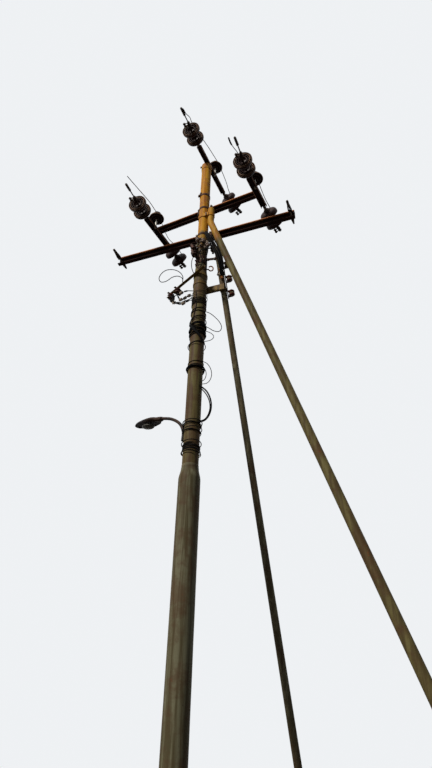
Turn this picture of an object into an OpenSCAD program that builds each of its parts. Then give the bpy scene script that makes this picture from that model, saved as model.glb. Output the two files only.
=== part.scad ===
// Stepped steel tubular line pole with two strut tubes, channel crossarms and strain strings.
// The origin is the pole's centre at ground level.
// +X runs along the lower crossarm, +Y along the line, +Z up.

/* [Pole tubes] */
// Outside diameter of the lower tube
lower_od = 219.1; // [200:0.1:245]
// Outside diameter of the middle tube
middle_od = 168.3; // [152:0.1:180]
// Outside diameter of the upper tube
upper_od = 139.7; // [125:0.1:150]
// Wall of the tubes, seen at each swaged mouth
tube_wall = 5; // [3:0.5:8]
// Height of the lower tube's mouth above ground
lower_top = 4095; // [3900:5:4200]
// Length of the upper tube above the middle tube's mouth
upper_len = 2224; // [2180:1:2270]
// Height of the pole's top above ground
pole_top = 9144; // [9000:1:9300]
// Length of each swaged shoulder
shoulder_len = 130; // [90:5:160]
// Height of the pale band above the lower mouth
pale_band_h = 28; // [15:1:40]
// Drop of the dark clamp band's middle below the pole's top
dark_band_drop = 749; // [704:5:794]
// Height of each clamp band on the pole
band_h = 34; // [20:1:45]
// Thickness of the clamp straps
strap_t = 6; // [4:0.5:8]

/* [Crossarms] */
// Depth of the crossarm channel
arm_h = 120; // [112:1:126]
// Width of the crossarm channel's flanges
arm_flange = 55; // [50:1:60]
// Web and flange thickness of the crossarm channel
arm_t = 6; // [5:0.5:8]
// Length of the upper crossarm
upper_arm_len = 1610; // [1590:5:1640]
// Drop of the upper crossarm's middle below the pole's top
upper_arm_drop = 959; // [934:1:969]
// Distance from the pole's centre to the upper crossarm's middle, along the arm
upper_arm_shift = -15; // [-25:1:-5]
// Turn of the upper crossarm about the pole, in degrees
upper_arm_turn = -5.3; // [-7:0.1:-4]
// Length of the lower crossarm
lower_arm_len = 2596; // [2540:2:2650]
// Drop of the lower crossarm's middle below the pole's top
lower_arm_drop = 1509; // [1484:1:1529]
// Distance from the pole's centre to the lower crossarm's middle, along the arm
lower_arm_shift = -47; // [-60:1:-20]
// Drop of a crossarm's strap below the arm's middle
strap_drop = 80; // [72:1:80]
// Diameter of the arm bolts
bolt_d = 16; // [12:1:20]

/* [Strut tubes] */
// Outside diameter of the right strut
right_strut_od = 88.9; // [76:0.1:92]
// Foot of the right strut along X
right_foot_x = 2585; // [2500:5:2650]
// Foot of the right strut along Y
right_foot_y = -150; // [-180:5:-120]
// Drop of the right strut's head below the pole's top
right_head_drop = 1079; // [1074:5:1104]
// Drop below the pole's top where the right strut bends upright beside the pole
right_knee_drop = 1354; // [1324:5:1384]
// Turn of the right strut's head about the pole, in degrees
right_head_turn = -10; // [-20:1:-5]
// Drop of the right strut's saddle clamp below the pole's top
right_clamp_drop = 1219; // [1194:5:1254]
// Outside diameter of the back strut
back_strut_od = 76.1; // [70:0.1:80]
// Foot of the back strut along X
back_foot_x = 745; // [700:5:780]
// Foot of the back strut along Y
back_foot_y = 1820; // [1780:5:1860]
// Rise of the back strut's head above the middle tube's mouth
back_head_rise = 335; // [310:5:350]
// Sideways place of the back strut where it passes its bracket
back_pass_x = 258; // [248:1:273]
// Drop of the bracket between the pole and the back strut below the middle tube's mouth
back_bracket_drop = 295; // [265:5:325]
// Rise of the strap plate between the pole and the back strut above the middle tube's mouth
back_plate_rise = 180; // [150:5:210]

/* [Strain members] */
// Width of the longitudinal channel on the pole's top
top_member_w = 70; // [66:1:76]
// Width of the longitudinal channels under the arm's ends
side_member_w = 84; // [78:1:92]
// Height of the longitudinal channels
member_h = 40; // [36:1:44]
// Wall of the longitudinal channels
member_t = 5; // [4:0.5:6]
// Length of the channel on the pole's top
top_member_len = 885; // [860:5:915]
// Length of the channel on the arm's right end
right_member_len = 515; // [500:5:540]
// Length of the channel on the arm's left end
left_member_len = 570; // [555:5:595]
// Distance in from the upper arm's end to a side channel's middle, with the arm centred
side_member_in = 15; // [10:1:30]

/* [Strain strings] */
// Diameter of a strain disc
disc_d = 255; // [245:1:260]
// Spacing of the discs along a string
disc_pitch = 158; // [142:1:170]
// Distance from the member's end to the first disc
first_disc = 122; // [118:1:130]
// Diameter of the iron cap on a disc
cap_d = 96; // [90:1:100]
// Diameter of the pin under a disc
disc_pin_d = 18; // [16:1:20]
// Length of the strain clamp's body
clamp_len = 105; // [90:5:130]
// Length of the wire grip beyond a front clamp
grip_len = 245; // [220:5:270]
// Diameter of the bare line conductor
wire_d = 10; // [8:0.5:12]

/* [Pin insulators] */
// Diameter of a pin insulator's lower skirt
pin_skirt_d = 222; // [180:1:230]
// Height of a pin insulator
pin_ins_h = 148; // [142:1:180]
// Height of the pin's stem below the insulator
pin_stem_h = 158; // [134:1:165]
// Diameter of the pin's stem
pin_stem_d = 24; // [20:1:28]

/* [Low-voltage racks] */
// Diameter of a shackle insulator
bobbin_d = 78; // [70:1:85]
// Height of a shackle insulator
bobbin_h = 76; // [70:1:85]
// Spacing of the shackle insulators on a rack
bobbin_pitch = 215; // [200:5:240]
// Drop of the service bar on the pole's front below the middle tube's mouth
service_bar_drop = 160; // [145:1:180]
// Width of a rack's strap iron
rack_w = 38; // [32:1:45]
// Thickness of a rack's strap iron
rack_t = 5; // [4:0.5:6]

/* [Street lamp] */
// Height of the lamp bracket's lower end above the lower tube's mouth
lamp_rise = 335; // [285:5:385]
// Diameter of the lamp's arm tube
lamp_tube_d = 33.7; // [30:0.1:40]
// Length of the lamp head
lamp_len = 520; // [480:5:560]
// Width of the lamp head
lamp_w = 170; // [150:5:190]

/* [Wire turns] */
// Diameter of the service cable wound round the pole
cable_d = 9; // [7:0.5:12]

/* [Hidden] */
$fn = 48;

// Clearance left between round pieces that seat on each other
seat = 0.3;
lower_r = lower_od / 2;
middle_r = middle_od / 2;
upper_r = upper_od / 2;
right_strut_r = right_strut_od / 2;
back_strut_r = back_strut_od / 2;
// Steps in the curve of a swaged shoulder
shoulder_steps = 8;

// Heights above ground, worked out from the pole's top
middle_top = pole_top - upper_len;
dark_band_z = pole_top - dark_band_drop;
upper_arm_z = pole_top - upper_arm_drop;
lower_arm_z = pole_top - lower_arm_drop;
right_head_z = pole_top - right_head_drop;
right_knee_z = pole_top - right_knee_drop;
right_clamp_z = pole_top - right_clamp_drop;
back_head_z = middle_top + back_head_rise;
back_bracket_z = middle_top - back_bracket_drop;
back_plate_z = middle_top + back_plate_rise;
service_bar_z = middle_top - service_bar_drop;

// Crossarm places: the flange tips stand against the pole's back
arm_front_y = upper_r + seat;
arm_back_y = arm_front_y + arm_flange;
arm_mid_y = arm_front_y + arm_flange / 2;
arm_bolt_x = upper_r + strap_t + 22;
function guard_x(side) = lower_arm_shift + side * (lower_arm_len / 2 - 45);

// Right strut: it leans from its foot to a knee beside the pole and ends upright
knee_bead = 0.8;
right_head_out = upper_r + right_strut_r + knee_bead + seat;
right_head_x = right_head_out * cos(right_head_turn);
right_head_y = right_head_out * sin(right_head_turn);
right_foot = [right_foot_x, right_foot_y, 0];
right_knee = [right_head_x, right_head_y, right_knee_z];
right_head = [right_head_x, right_head_y, right_head_z];

// Back strut: its axis passes just behind the bracket and ends under the lower arm
bracket_front_y = middle_r + seat;
bracket_flange = 31;
back_pass_y = bracket_front_y + bracket_flange + back_strut_r + 4;
back_foot = [back_foot_x, back_foot_y, 0];
back_pass = [back_pass_x, back_pass_y, back_bracket_z];
back_head = along(back_foot, back_pass, back_head_z);

// Strain members: the top one lies on the pole's cap, the side ones hang under the upper arm's ends
cap_plate_t = 8;
side_member_x = upper_arm_len / 2 - side_member_in;
top_member_z = pole_top + seat + cap_plate_t + seat + member_h;
side_member_z = upper_arm_z - arm_h / 2 - seat;
top_member_at = [40, 100, top_member_z];
right_member_at = [side_member_x - 3, -49, side_member_z];
left_member_at = [-side_member_x, 130, side_member_z];
// Turn of each member and of its front and back strings about Z, in degrees
top_turns = [-4.4, -0.2, -23.5];
right_turns = [-6.6, 1.2, -15.5];
left_turns = [-8, 2.5, -15];
// Droop of the front and back strings, in degrees
front_droop = 11;
back_droop = 12;

// Lug at each end of a member, and the place of its link pin beyond the end
lug_t = 12;
lug_w = 40;
link_out = 24;
link_pin_d = 16;
lug_drop = member_t + seat + lug_t / 2;

// Place of each pin insulator on its member, sideways and along, from the member's middle
top_pin_at = [12, 100];
right_pin_at = [8, -70];
left_pin_at = [18, -80];
// Waist of a pin insulator, where the jumper is tied
function pin_waist_r() = pin_skirt_d * 0.21;
pin_waist_z = 107;

// Point at height z on the line through p and q
function along(p, q, z) = p + (q - p) * ((z - p[2]) / (q[2] - p[2]));

// Point p turned by angle a about Z
function turned(p, a) = [p[0] * cos(a) - p[1] * sin(a), p[0] * sin(a) + p[1] * cos(a), p[2]];

// Unit vector along v
function unit(v) = v / norm(v);

// One point of a smooth curve through p[i] and p[i + 1], at u from 0 to 1
function spline_point(p, i, u) =
    let(
        b = p[i],
        c = p[i + 1],
        reach = norm(c - b),
        leave = heading(p, i) * reach,
        arrive = heading(p, i + 1) * reach
    )
    b * (2 * u * u * u - 3 * u * u + 1) + leave * (u * u * u - 2 * u * u + u)
    + c * (3 * u * u - 2 * u * u * u) + arrive * (u * u * u - u * u);

// A smooth curve through the points, with n steps between each two
function smooth(p, n) = [
    for (i = [0 : len(p) - 2]) for (k = [0 : n - 1]) spline_point(p, i, k / n),
    p[len(p) - 1]
];

// Direction of a path at point i
function heading(p, i) = unit(p[min(i + 1, len(p) - 1)] - p[max(i - 1, 0)]);

// Round wire along a path; side is a direction that the path never takes
module wire(path, d, side, sides = 8) {
    last = len(path) - 1;
    points = [
        for (i = [0 : last])
            let(t = heading(path, i), n = unit(cross(t, side)), b = cross(t, n))
            for (k = [0 : sides - 1]) path[i] + d / 2 * (n * cos(360 * k / sides) + b * sin(360 * k / sides))
    ];
    start_face = [[for (k = [0 : sides - 1]) k]];
    end_face = [[for (k = [sides - 1 : -1 : 0]) last * sides + k]];
    walls = [
        for (i = [0 : last - 1]) for (k = [0 : sides - 1])
            [i * sides + k, (i + 1) * sides + k, (i + 1) * sides + (k + 1) % sides, i * sides + (k + 1) % sides]
    ];
    polyhedron(points, concat(start_face, walls, end_face), convexity = 8);
}

// Straight round bar from p to q
module bar(p, q, d) {
    v = q - p;
    translate(p)
        rotate([0, acos(v[2] / norm(v)), atan2(v[1], v[0])])
            rotate([0, 0, 97.5])
                cylinder(d = d, h = norm(v));
}

// Hexagon head or nut with its base at the origin, along +Z
module hex(d) {
    cylinder(d = d * 1.8, h = d * 0.65, $fn = 6);
}

// Bolt along +Y from y = 0 to y = length, with a head and a nut outside them
module bolt_y(length, d) {
    rotate([-90, 0, 0])
        cylinder(d = d, h = length);
    rotate([90, 0, 0])
        hex(d);
    translate([0, length, 0])
        rotate([-90, 0, 0])
            hex(d);
}

// Tube from z = 0 with a swaged shoulder that narrows to the next tube
module swaged_tube(r, next_r, h) {
    lip_r = next_r + tube_wall;
    curve = [
        for (i = [0 : shoulder_steps])
            let(u = i / shoulder_steps)
            [lip_r + (r - lip_r) * (1 + cos(180 * u)) / 2, h - shoulder_len * (1 - u)]
    ];
    rotate_extrude()
        polygon(concat([[0, 0], [r, 0]], curve, [[0, h]]));
}

// Channel along +X, centred on x = 0, with its web at the back
module channel(length, h, flange, t) {
    rotate([90, 0, 90])
        translate([0, 0, -length / 2])
            linear_extrude(length)
                difference() {
                    translate([0, -h / 2])
                        square([flange, h]);
                    translate([-1, t - h / 2])
                        square([flange - t + 1, h - 2 * t]);
                }
}

// Flat band round a tube of radius r, with a lug and bolt at the front left
module bolted_band(r, h) {
    lug = [strap_t, 34, h];
    difference() {
        union() {
            cylinder(r = r + seat + strap_t, h = h, center = true);
            translate([-strap_t, -(r + lug[1]), -h / 2])
                cube([2 * strap_t, lug[1], h]);
        }
        cylinder(r = r + seat, h = h + 2, center = true);
    }
    translate([-20, -(r + lug[1] - 12), 0])
        rotate([0, 90, 0])
            cylinder(d = bolt_d, h = 40);
}

module pole_lower() {
    color("#6d6450")
        swaged_tube(lower_r, middle_r, lower_top);
}

module pole_middle() {
    color("#74694f")
        translate([0, 0, lower_top])
            swaged_tube(middle_r, upper_r, middle_top - lower_top);
}

module pole_upper() {
    color("#b9822f")
        translate([0, 0, middle_top])
            cylinder(r = upper_r, h = pole_top - middle_top);
}

module pale_band() {
    color("#b5b0a0")
        translate([0, 0, lower_top + 2])
            difference() {
                cylinder(r = middle_r + seat + 2, h = pale_band_h);
                translate([0, 0, -1])
                    cylinder(r = middle_r + seat, h = pale_band_h + 2);
            }
}

module dark_band() {
    color("#33281f")
        translate([0, 0, dark_band_z])
            rotate([0, 0, -50])
                bolted_band(upper_r, band_h);
}

// Strut tube from foot to head, cut level at the ground and at the head
module strut(foot, head, d) {
    below = foot - (head - foot) * 0.05;
    above = head + (head - foot) * 0.01;
    difference() {
        bar(below, above, d);
        translate([foot[0], foot[1], -500])
            cube([1000, 1000, 1000], center = true);
        translate([head[0], head[1], head[2] + 150])
            cube([300, 300, 300], center = true);
    }
}

module right_strut() {
    color("#7a6a4a") {
        difference() {
            bar(right_foot + (right_foot - right_knee) * 0.05, right_knee, right_strut_od);
            translate([right_foot[0], right_foot[1], -500])
                cube([1000, 1000, 1000], center = true);
        }
        // the welded knee
        translate(right_knee)
            sphere(r = right_strut_r + knee_bead);
        bar(right_knee, right_head, right_strut_od);
    }
}

module back_strut() {
    color("#756a52")
        strut(back_foot, back_head, back_strut_od);
}

// Saddle clamp that holds the right strut's upright head beside the pole
module right_strut_clamp() {
    saddle_h = 56;
    reach = strap_t + 2;
    color("#a8752c")
        difference() {
            translate([0, 0, right_clamp_z - saddle_h / 2])
                linear_extrude(saddle_h)
                    hull() {
                        circle(r = upper_r + reach);
                        translate([right_head_x, right_head_y])
                            circle(r = right_strut_r + reach);
                    }
            cylinder(r = upper_r + seat, h = pole_top);
            translate([right_head_x, right_head_y, 0])
                cylinder(r = right_strut_r + seat, h = pole_top);
            // open throat between the two seats
            rotate([0, 0, right_head_turn])
                translate([upper_r - 8, -18, 0])
                    cube([18, 36, pole_top]);
        }
}

// Channel stub behind the pole that carries the back strut, with its straps
module back_strut_bracket() {
    stub_left = -120;
    stub_right = back_pass_x + 30;
    stub_len = stub_right - stub_left;
    stub_h = 100;
    strap_half = middle_r + seat + strap_t;
    ear_x = strap_half + 14;
    color("#5a4a33") {
        difference() {
            union() {
                translate([(stub_left + stub_right) / 2, bracket_front_y + bracket_flange, back_bracket_z])
                    rotate([0, 0, 180])
                        channel(stub_len, stub_h, bracket_flange, arm_t);
                translate([0, 0, back_bracket_z - band_h / 2])
                    cylinder(r = strap_half, h = band_h);
                translate([-ear_x, bracket_front_y - strap_t, back_bracket_z - band_h / 2])
                    cube([2 * ear_x, strap_t, band_h]);
                back_strut_band(back_bracket_z);
            }
            translate([0, 0, lower_top])
                cylinder(r = middle_r + seat, h = middle_top - shoulder_len - lower_top);
            bar(back_foot, along(back_foot, back_pass, back_head_z), back_strut_od + 2 * seat);
        }
    }
}

// Ring round the back strut at height z, before the strut's room is cut from it
module back_strut_band(z) {
    low = along(back_foot, back_pass, z - band_h / 2);
    high = along(back_foot, back_pass, z + band_h / 2);
    bar(low, high, back_strut_od + 2 * (seat + strap_t + 2));
}

// Strap plate between the upper tube and the back strut's head
module back_strut_plate() {
    at_strut = along(back_foot, back_pass, back_plate_z);
    angle = atan2(at_strut[1], at_strut[0]);
    reach = norm([at_strut[0], at_strut[1]]);
    color("#4b3a29")
        difference() {
            union() {
                translate([0, 0, back_plate_z - band_h / 2])
                    cylinder(r = upper_r + seat + strap_t, h = band_h);
                rotate([0, 0, angle])
                    translate([0, -strap_t, back_plate_z - band_h / 2])
                        cube([reach, 2 * strap_t, band_h]);
                back_strut_band(back_plate_z);
            }
            translate([0, 0, middle_top])
                cylinder(r = upper_r + seat, h = pole_top - middle_top);
            bar(back_foot, along(back_foot, back_pass, back_head_z + 50), back_strut_od + 2 * seat);
        }
}

// Crossarm against the pole's back, its open side to the front, with bolt holes at the given places
module crossarm(length, shift, z, holes) {
    translate([0, arm_front_y, z])
        difference() {
            translate([shift, 0, 0])
                channel(length, arm_h, arm_flange, arm_t);
            for (x = holes)
                translate([x, arm_flange - arm_t - 1, 0])
                    rotate([-90, 0, 0])
                        cylinder(d = bolt_d + 1, h = arm_t + 2);
        }
}

module upper_crossarm() {
    color("#5b3524")
        rotate([0, 0, upper_arm_turn])
            crossarm(upper_arm_len, upper_arm_shift, upper_arm_z, [-arm_bolt_x, arm_bolt_x]);
}

module lower_crossarm() {
    color("#4c2f22")
        crossarm(lower_arm_len, lower_arm_shift, lower_arm_z, [guard_x(-1), -arm_bolt_x, arm_bolt_x, guard_x(1)]);
}

// Strap round the pole's front, low, with tall ears and the two bolts through the arm's web
module arm_clamp(z) {
    strap_r = upper_r + seat + strap_t;
    ear_y = 18;
    ear_half = arm_bolt_x + 18;
    low = -strap_drop - band_h / 2;
    translate([0, 0, z]) {
        difference() {
            union() {
                translate([0, 0, low])
                    cylinder(r = strap_r, h = band_h);
                translate([-ear_half, ear_y, low])
                    cube([2 * ear_half, strap_t, 20 - low]);
            }
            translate([0, 0, low - 1])
                cylinder(r = upper_r + seat, h = 22 - low);
            translate([-strap_r - 1, ear_y + strap_t, low - 1])
                cube([2 * strap_r + 2, strap_r, 22 - low]);
        }
        for (side = [-1, 1])
            translate([side * arm_bolt_x, ear_y, 0])
                bolt_y(arm_back_y - ear_y, bolt_d);
    }
}

module upper_arm_clamp() {
    color("#3c281d")
        rotate([0, 0, upper_arm_turn])
            arm_clamp(upper_arm_z);
}

module lower_arm_clamp() {
    color("#3c281d")
        arm_clamp(lower_arm_z);
}

// Cap over the pole's top, with a set bolt at its left front
module top_cap() {
    skirt = 110;
    cap_r = upper_r + seat + 5;
    color("#4a3527") {
        difference() {
            translate([0, 0, pole_top - skirt])
                cylinder(r = cap_r, h = skirt + seat + cap_plate_t);
            translate([0, 0, pole_top - skirt - 1])
                cylinder(r = upper_r + seat, h = skirt + 1 + seat);
        }
        translate([0, 0, pole_top - skirt / 2])
            rotate([0, 0, 218])
                rotate([0, 90, 0])
                    translate([0, 0, cap_r - 2]) {
                        cylinder(d = bolt_d, h = 24);
                        translate([0, 0, 10])
                            hex(bolt_d);
                    }
    }
}

// Strain member along +Y with its web on top at z = 0, a lug at each end, and a hole for the insulator's pin
module strain_member(length, width, pin_at) {
    difference() {
        union() {
            translate([0, 0, -member_h])
                rotate([0, 0, 90])
                    rotate([90, 0, 0])
                        channel(length, width, member_h, member_t);
            for (side = [-1, 1])
                translate([0, side * (length / 2 - 30), -lug_drop])
                    rotate([0, 0, side * 90])
                        member_lug();
        }
        translate([pin_at[0], pin_at[1], -member_t - 1])
            cylinder(d = pin_stem_d - 4 + 1, h = member_t + 2);
    }
}

// Lug plate along +X, welded under the web, with its round end and pin hole beyond the member's end
module member_lug() {
    reach = 30 + link_out;
    difference() {
        union() {
            translate([-30, -lug_w / 2, -lug_t / 2])
                cube([30 + reach, lug_w, lug_t]);
            translate([-30, -lug_w / 2, lug_t / 2 - 1])
                cube([50, lug_w, 1 + seat + 1]);
            translate([reach, 0, -lug_t / 2])
                cylinder(d = lug_w, h = lug_t);
        }
        translate([reach, 0, -lug_t])
            cylinder(d = link_pin_d + 2 * seat, h = 2 * lug_t);
    }
}

// Places of the three members: middle of the web's top, and the turn about Z
module at_top_member() {
    translate(top_member_at)
        rotate([0, 0, top_turns[0]])
            children();
}

module at_right_member() {
    translate(right_member_at)
        rotate([0, 0, right_turns[0]])
            children();
}

module at_left_member() {
    translate(left_member_at)
        rotate([0, 0, left_turns[0]])
            children();
}

module top_member() {
    color("#3b2c22")
        at_top_member()
            strain_member(top_member_len, top_member_w, top_pin_at);
}

module right_member() {
    color("#3b2c22")
        at_right_member()
            strain_member(right_member_len, side_member_w, right_pin_at);
}

module left_member() {
    color("#3b2c22")
        at_left_member()
            strain_member(left_member_len, side_member_w, left_pin_at);
}

// Droop of a string, front for direction -1 and back for direction 1
function droop(direction) = direction == -1 ? front_droop : back_droop;

// Frame of a string: the origin is the link pin's centre and +Z is the string's axis, outwards
module at_string(length, direction, turn) {
    translate([0, direction * (length / 2 + link_out), -lug_drop])
        rotate([0, 0, turn])
            rotate([-direction * (90 + droop(direction)), 0, 0])
                children();
}

// Porcelain of one disc; the ribbed side faces +Z and the hub goes into the cap
module disc_porcelain() {
    r = disc_d / 2;
    hub_r = cap_d / 2 - 10;
    rotate_extrude()
        polygon([
            [0, -58], [hub_r, -58], [hub_r, -34], [cap_d / 2 + 2, -34],
            [r * 0.62, -31], [r * 0.8, -25], [r * 0.92, -15], [r * 0.985, -2], [r, 10], [r, 35], [r - 5, 38],
            [r - 10, 24], [r * 0.83, 16], [r * 0.83, 37], [r * 0.77, 37], [r * 0.76, 10],
            [r * 0.66, 7], [r * 0.66, 37], [r * 0.6, 37], [r * 0.59, 4],
            [r * 0.48, 3], [r * 0.47, 36], [r * 0.4, 36], [r * 0.36, 8],
            [disc_pin_d / 2 + 8, 6], [disc_pin_d / 2 + 8, -40], [0, -40]
        ]);
}

// Iron cap over the hub, with its boss towards -Z
module disc_cap() {
    hub_r = cap_d / 2 - 10;
    rotate_extrude()
        polygon([
            [hub_r + seat, -34 - seat], [cap_d / 2, -34 - seat], [cap_d / 2, -40], [cap_d / 2 - 4, -44],
            [cap_d / 2 - 6, -58], [cap_d / 2 - 14, -68], [22, -72], [0, -72],
            [0, -58 - seat], [hub_r + seat, -58 - seat]
        ]);
}

// Steel pin under the porcelain, reaching from its seat to z = reach
module disc_pin(reach) {
    translate([0, 0, -40])
        cylinder(d = disc_pin_d + 14, h = 34);
    translate([0, 0, -8])
        cylinder(d = disc_pin_d, h = reach + 8);
}

// Distances along a string from its link pin: the first disc, and the seat of the dead-end clamp
first_at = first_disc - link_out;
clamp_seat = first_at + disc_pitch + 62;

module string_discs() {
    for (i = [0, 1])
        translate([0, 0, first_at + i * disc_pitch])
            disc_porcelain();
}

module string_fittings(direction) {
    cheek_in = lug_t / 2 + 6;
    translate([0, 0, first_at])
        disc_cap();
    // clevis over the member's lug, with its pin square to the lug
    for (side = [-1, 1])
        translate([-15, side == 1 ? cheek_in : -cheek_in - 7, -15])
            cube([30, 7, first_at - 72 + 21]);
    translate([-15, -cheek_in - 7, first_at - 76])
        cube([30, 2 * cheek_in + 14, 10]);
    rotate([direction * (90 + droop(direction)), 0, 0])
        translate([0, 0, -cheek_in - 14])
            cylinder(d = link_pin_d, h = 2 * cheek_in + 28);
    translate([0, 0, first_at])
        disc_pin(disc_pitch - 70);
    translate([0, 0, first_at + disc_pitch])
        disc_cap();
    translate([0, 0, first_at + disc_pitch])
        disc_pin(62);
}

// Strain clamp: a tapered body with two keeper bolts; the back one has the conductor's bore,
// the front one carries a stem and the wire grip with the bore
grip_d = 34;
module dead_end(direction) {
    bore_r = wire_d / 2 + 0.5;
    translate([0, 0, clamp_seat])
        difference() {
            union() {
                rotate([90, 0, 0])
                    translate([0, 0, -15])
                        linear_extrude(30)
                            polygon([
                                [-17, 0], [17, 0], [26, 32], [26, clamp_len], [-2, clamp_len],
                                [-10, clamp_len * 0.6], [-17, 32]
                            ]);
                // keeper beside the body, held by two bolts across it
                for (z = [clamp_len * 0.5, clamp_len * 0.82])
                    translate([-66, 0, z])
                        rotate([0, 90, 0])
                            cylinder(d = 16, h = 100);
                translate([-62, -12, clamp_len * 0.5 - 16])
                    cube([22, 24, clamp_len * 0.32 + 32]);
                if (direction == -1)
                    translate([12, 0, clamp_len])
                        wire_grip();
            }
            if (direction == 1)
                translate([12, 0, 40])
                    cylinder(r = bore_r, h = clamp_len);
            if (direction == -1)
                translate([12, 0, clamp_len + grip_len - 100])
                    cylinder(r = bore_r, h = 110);
        }
}

// Stem and grip beyond a front clamp, along +Z
module wire_grip() {
    rotate_extrude()
        polygon([
            [0, -24], [8, -24], [8, grip_len * 0.48], [grip_d / 2, grip_len * 0.54],
            [grip_d / 2, grip_len - 10], [grip_d / 2 - 4, grip_len], [0, grip_len]
        ]);
}

module phase_discs(length, direction, turn) {
    color("#2b1d18")
        at_string(length, direction, turn)
            string_discs();
}

// Caps, pins, clevis and dead-end clamp of one string
module phase_fittings(length, direction, turn) {
    color("#4a4038")
        at_string(length, direction, turn) {
            string_fittings(direction);
            dead_end(direction);
        }
}

module top_front_discs() {
    at_top_member()
        phase_discs(top_member_len, -1, top_turns[1] - top_turns[0]);
}

module top_back_discs() {
    at_top_member()
        phase_discs(top_member_len, 1, top_turns[2] - top_turns[0]);
}

module right_front_discs() {
    at_right_member()
        phase_discs(right_member_len, -1, right_turns[1] - right_turns[0]);
}

module right_back_discs() {
    at_right_member()
        phase_discs(right_member_len, 1, right_turns[2] - right_turns[0]);
}

module left_front_discs() {
    at_left_member()
        phase_discs(left_member_len, -1, left_turns[1] - left_turns[0]);
}

module left_back_discs() {
    at_left_member()
        phase_discs(left_member_len, 1, left_turns[2] - left_turns[0]);
}

module top_front_fittings() {
    at_top_member()
        phase_fittings(top_member_len, -1, top_turns[1] - top_turns[0]);
}

module top_back_fittings() {
    at_top_member()
        phase_fittings(top_member_len, 1, top_turns[2] - top_turns[0]);
}

module right_front_fittings() {
    at_right_member()
        phase_fittings(right_member_len, -1, right_turns[1] - right_turns[0]);
}

module right_back_fittings() {
    at_right_member()
        phase_fittings(right_member_len, 1, right_turns[2] - right_turns[0]);
}

module left_front_fittings() {
    at_left_member()
        phase_fittings(left_member_len, -1, left_turns[1] - left_turns[0]);
}

module left_back_fittings() {
    at_left_member()
        phase_fittings(left_member_len, 1, left_turns[2] - left_turns[0]);
}

// Pin insulator with its inner petticoat's edge at z = 0, a wide rain shed and a tie groove at the waist
module pin_porcelain() {
    r = pin_skirt_d / 2;
    h = pin_ins_h;
    socket_r = pin_stem_d / 2 + 2;
    waist_r = pin_waist_r();
    rotate_extrude()
        polygon([
            [socket_r, 22], [r * 0.3, 0], [r * 0.37, 0], [r * 0.42, 28], [r * 0.55, 32], [r * 0.6, 10],
            [r * 0.67, 10], [r * 0.72, 36], [r * 0.87, 38], [r * 0.94, 22], [r, 24], [r, 36],
            [r * 0.93, 50], [r * 0.78, 64], [r * 0.62, 76], [waist_r + 6, 86], [waist_r + 5, 94],
            [waist_r, 100], [waist_r, 114], [waist_r + 7, 120], [waist_r + 7, h - 14], [waist_r, h - 4],
            [r * 0.25, h], [0, h], [0, 90], [socket_r, 90]
        ]);
}

// Pin: a stem on the member's web, a head inside the insulator, and a nut below the web
module steel_pin() {
    cylinder(d = pin_stem_d + 22, h = 8);
    cylinder(d = pin_stem_d, h = pin_stem_h + 90);
    translate([0, 0, -member_t - 24])
        cylinder(d = pin_stem_d - 4, h = member_t + 26);
    translate([0, 0, -member_t])
        rotate([180, 0, 0])
            hex(pin_stem_d - 4);
}

module pin_place(pin_at) {
    translate([pin_at[0], pin_at[1], 0])
        children();
}

module top_pin_insulator() {
    color("#3a231a")
        at_top_member()
            pin_place(top_pin_at)
                translate([0, 0, pin_stem_h])
                    pin_porcelain();
}

module right_pin_insulator() {
    color("#3a231a")
        at_right_member()
            pin_place(right_pin_at)
                translate([0, 0, pin_stem_h])
                    pin_porcelain();
}

module left_pin_insulator() {
    color("#3a231a")
        at_left_member()
            pin_place(left_pin_at)
                translate([0, 0, pin_stem_h])
                    pin_porcelain();
}

module top_pin() {
    color("#b8b3a6")
        at_top_member()
            pin_place(top_pin_at)
                steel_pin();
}

module right_pin() {
    color("#b8b3a6")
        at_right_member()
            pin_place(right_pin_at)
                steel_pin();
}

module left_pin() {
    color("#b8b3a6")
        at_left_member()
            pin_place(left_pin_at)
                steel_pin();
}

// Point of a string's frame in the member's frame; p is right, up and outwards
function string_point(p, length, direction, turn) =
    let(
        d = droop(direction),
        out = p[2] * cos(d) + p[1] * sin(d),
        up = p[1] * cos(d) - p[2] * sin(d),
        r = turned([p[0], direction * out, up], turn)
    )
    [r[0], r[1] + direction * (length / 2 + link_out), r[2] - lug_drop];

// Jumpers: points are right, up and out in the frame of a string
over = disc_d / 2 + 21;
grip_mouth = clamp_seat + clamp_len + grip_len;
grip_side = 12 + grip_d / 2 + wire_d / 2 + seat;
clamp_top = 15 + wire_d / 2 + seat;

// Front ends: the top one lies along its grip, the side ones end free beside their grips
top_tail = [
    [grip_side, 0, grip_mouth - 22], [grip_side, 0, grip_mouth - 80], [grip_side + 3, 14, grip_mouth - 130],
    [40, 66, clamp_seat + 130], [26, over - 12, clamp_seat + 40], [16, over, clamp_seat - 15],
    [22, over, clamp_seat - 120], [40, over - 6, clamp_seat - 240], [62, 128, -60], [84, 126, -220]
];
right_tail = [
    [-90, 132, grip_mouth - 93], [-85, 112, grip_mouth - 172], [-72, 122, grip_mouth - 260],
    [-60, over - 4, clamp_seat + 2], [-48, over, clamp_seat - 70], [-28, over + 2, clamp_seat - 210]
];
left_tail = [
    [20, 150, grip_mouth - 18], [40, 138, grip_mouth - 110], [62, 128, grip_mouth - 210],
    [83, 130, clamp_seat + 2], [93, 134, clamp_seat - 75], [106, 148, clamp_seat - 230]
];

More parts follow.
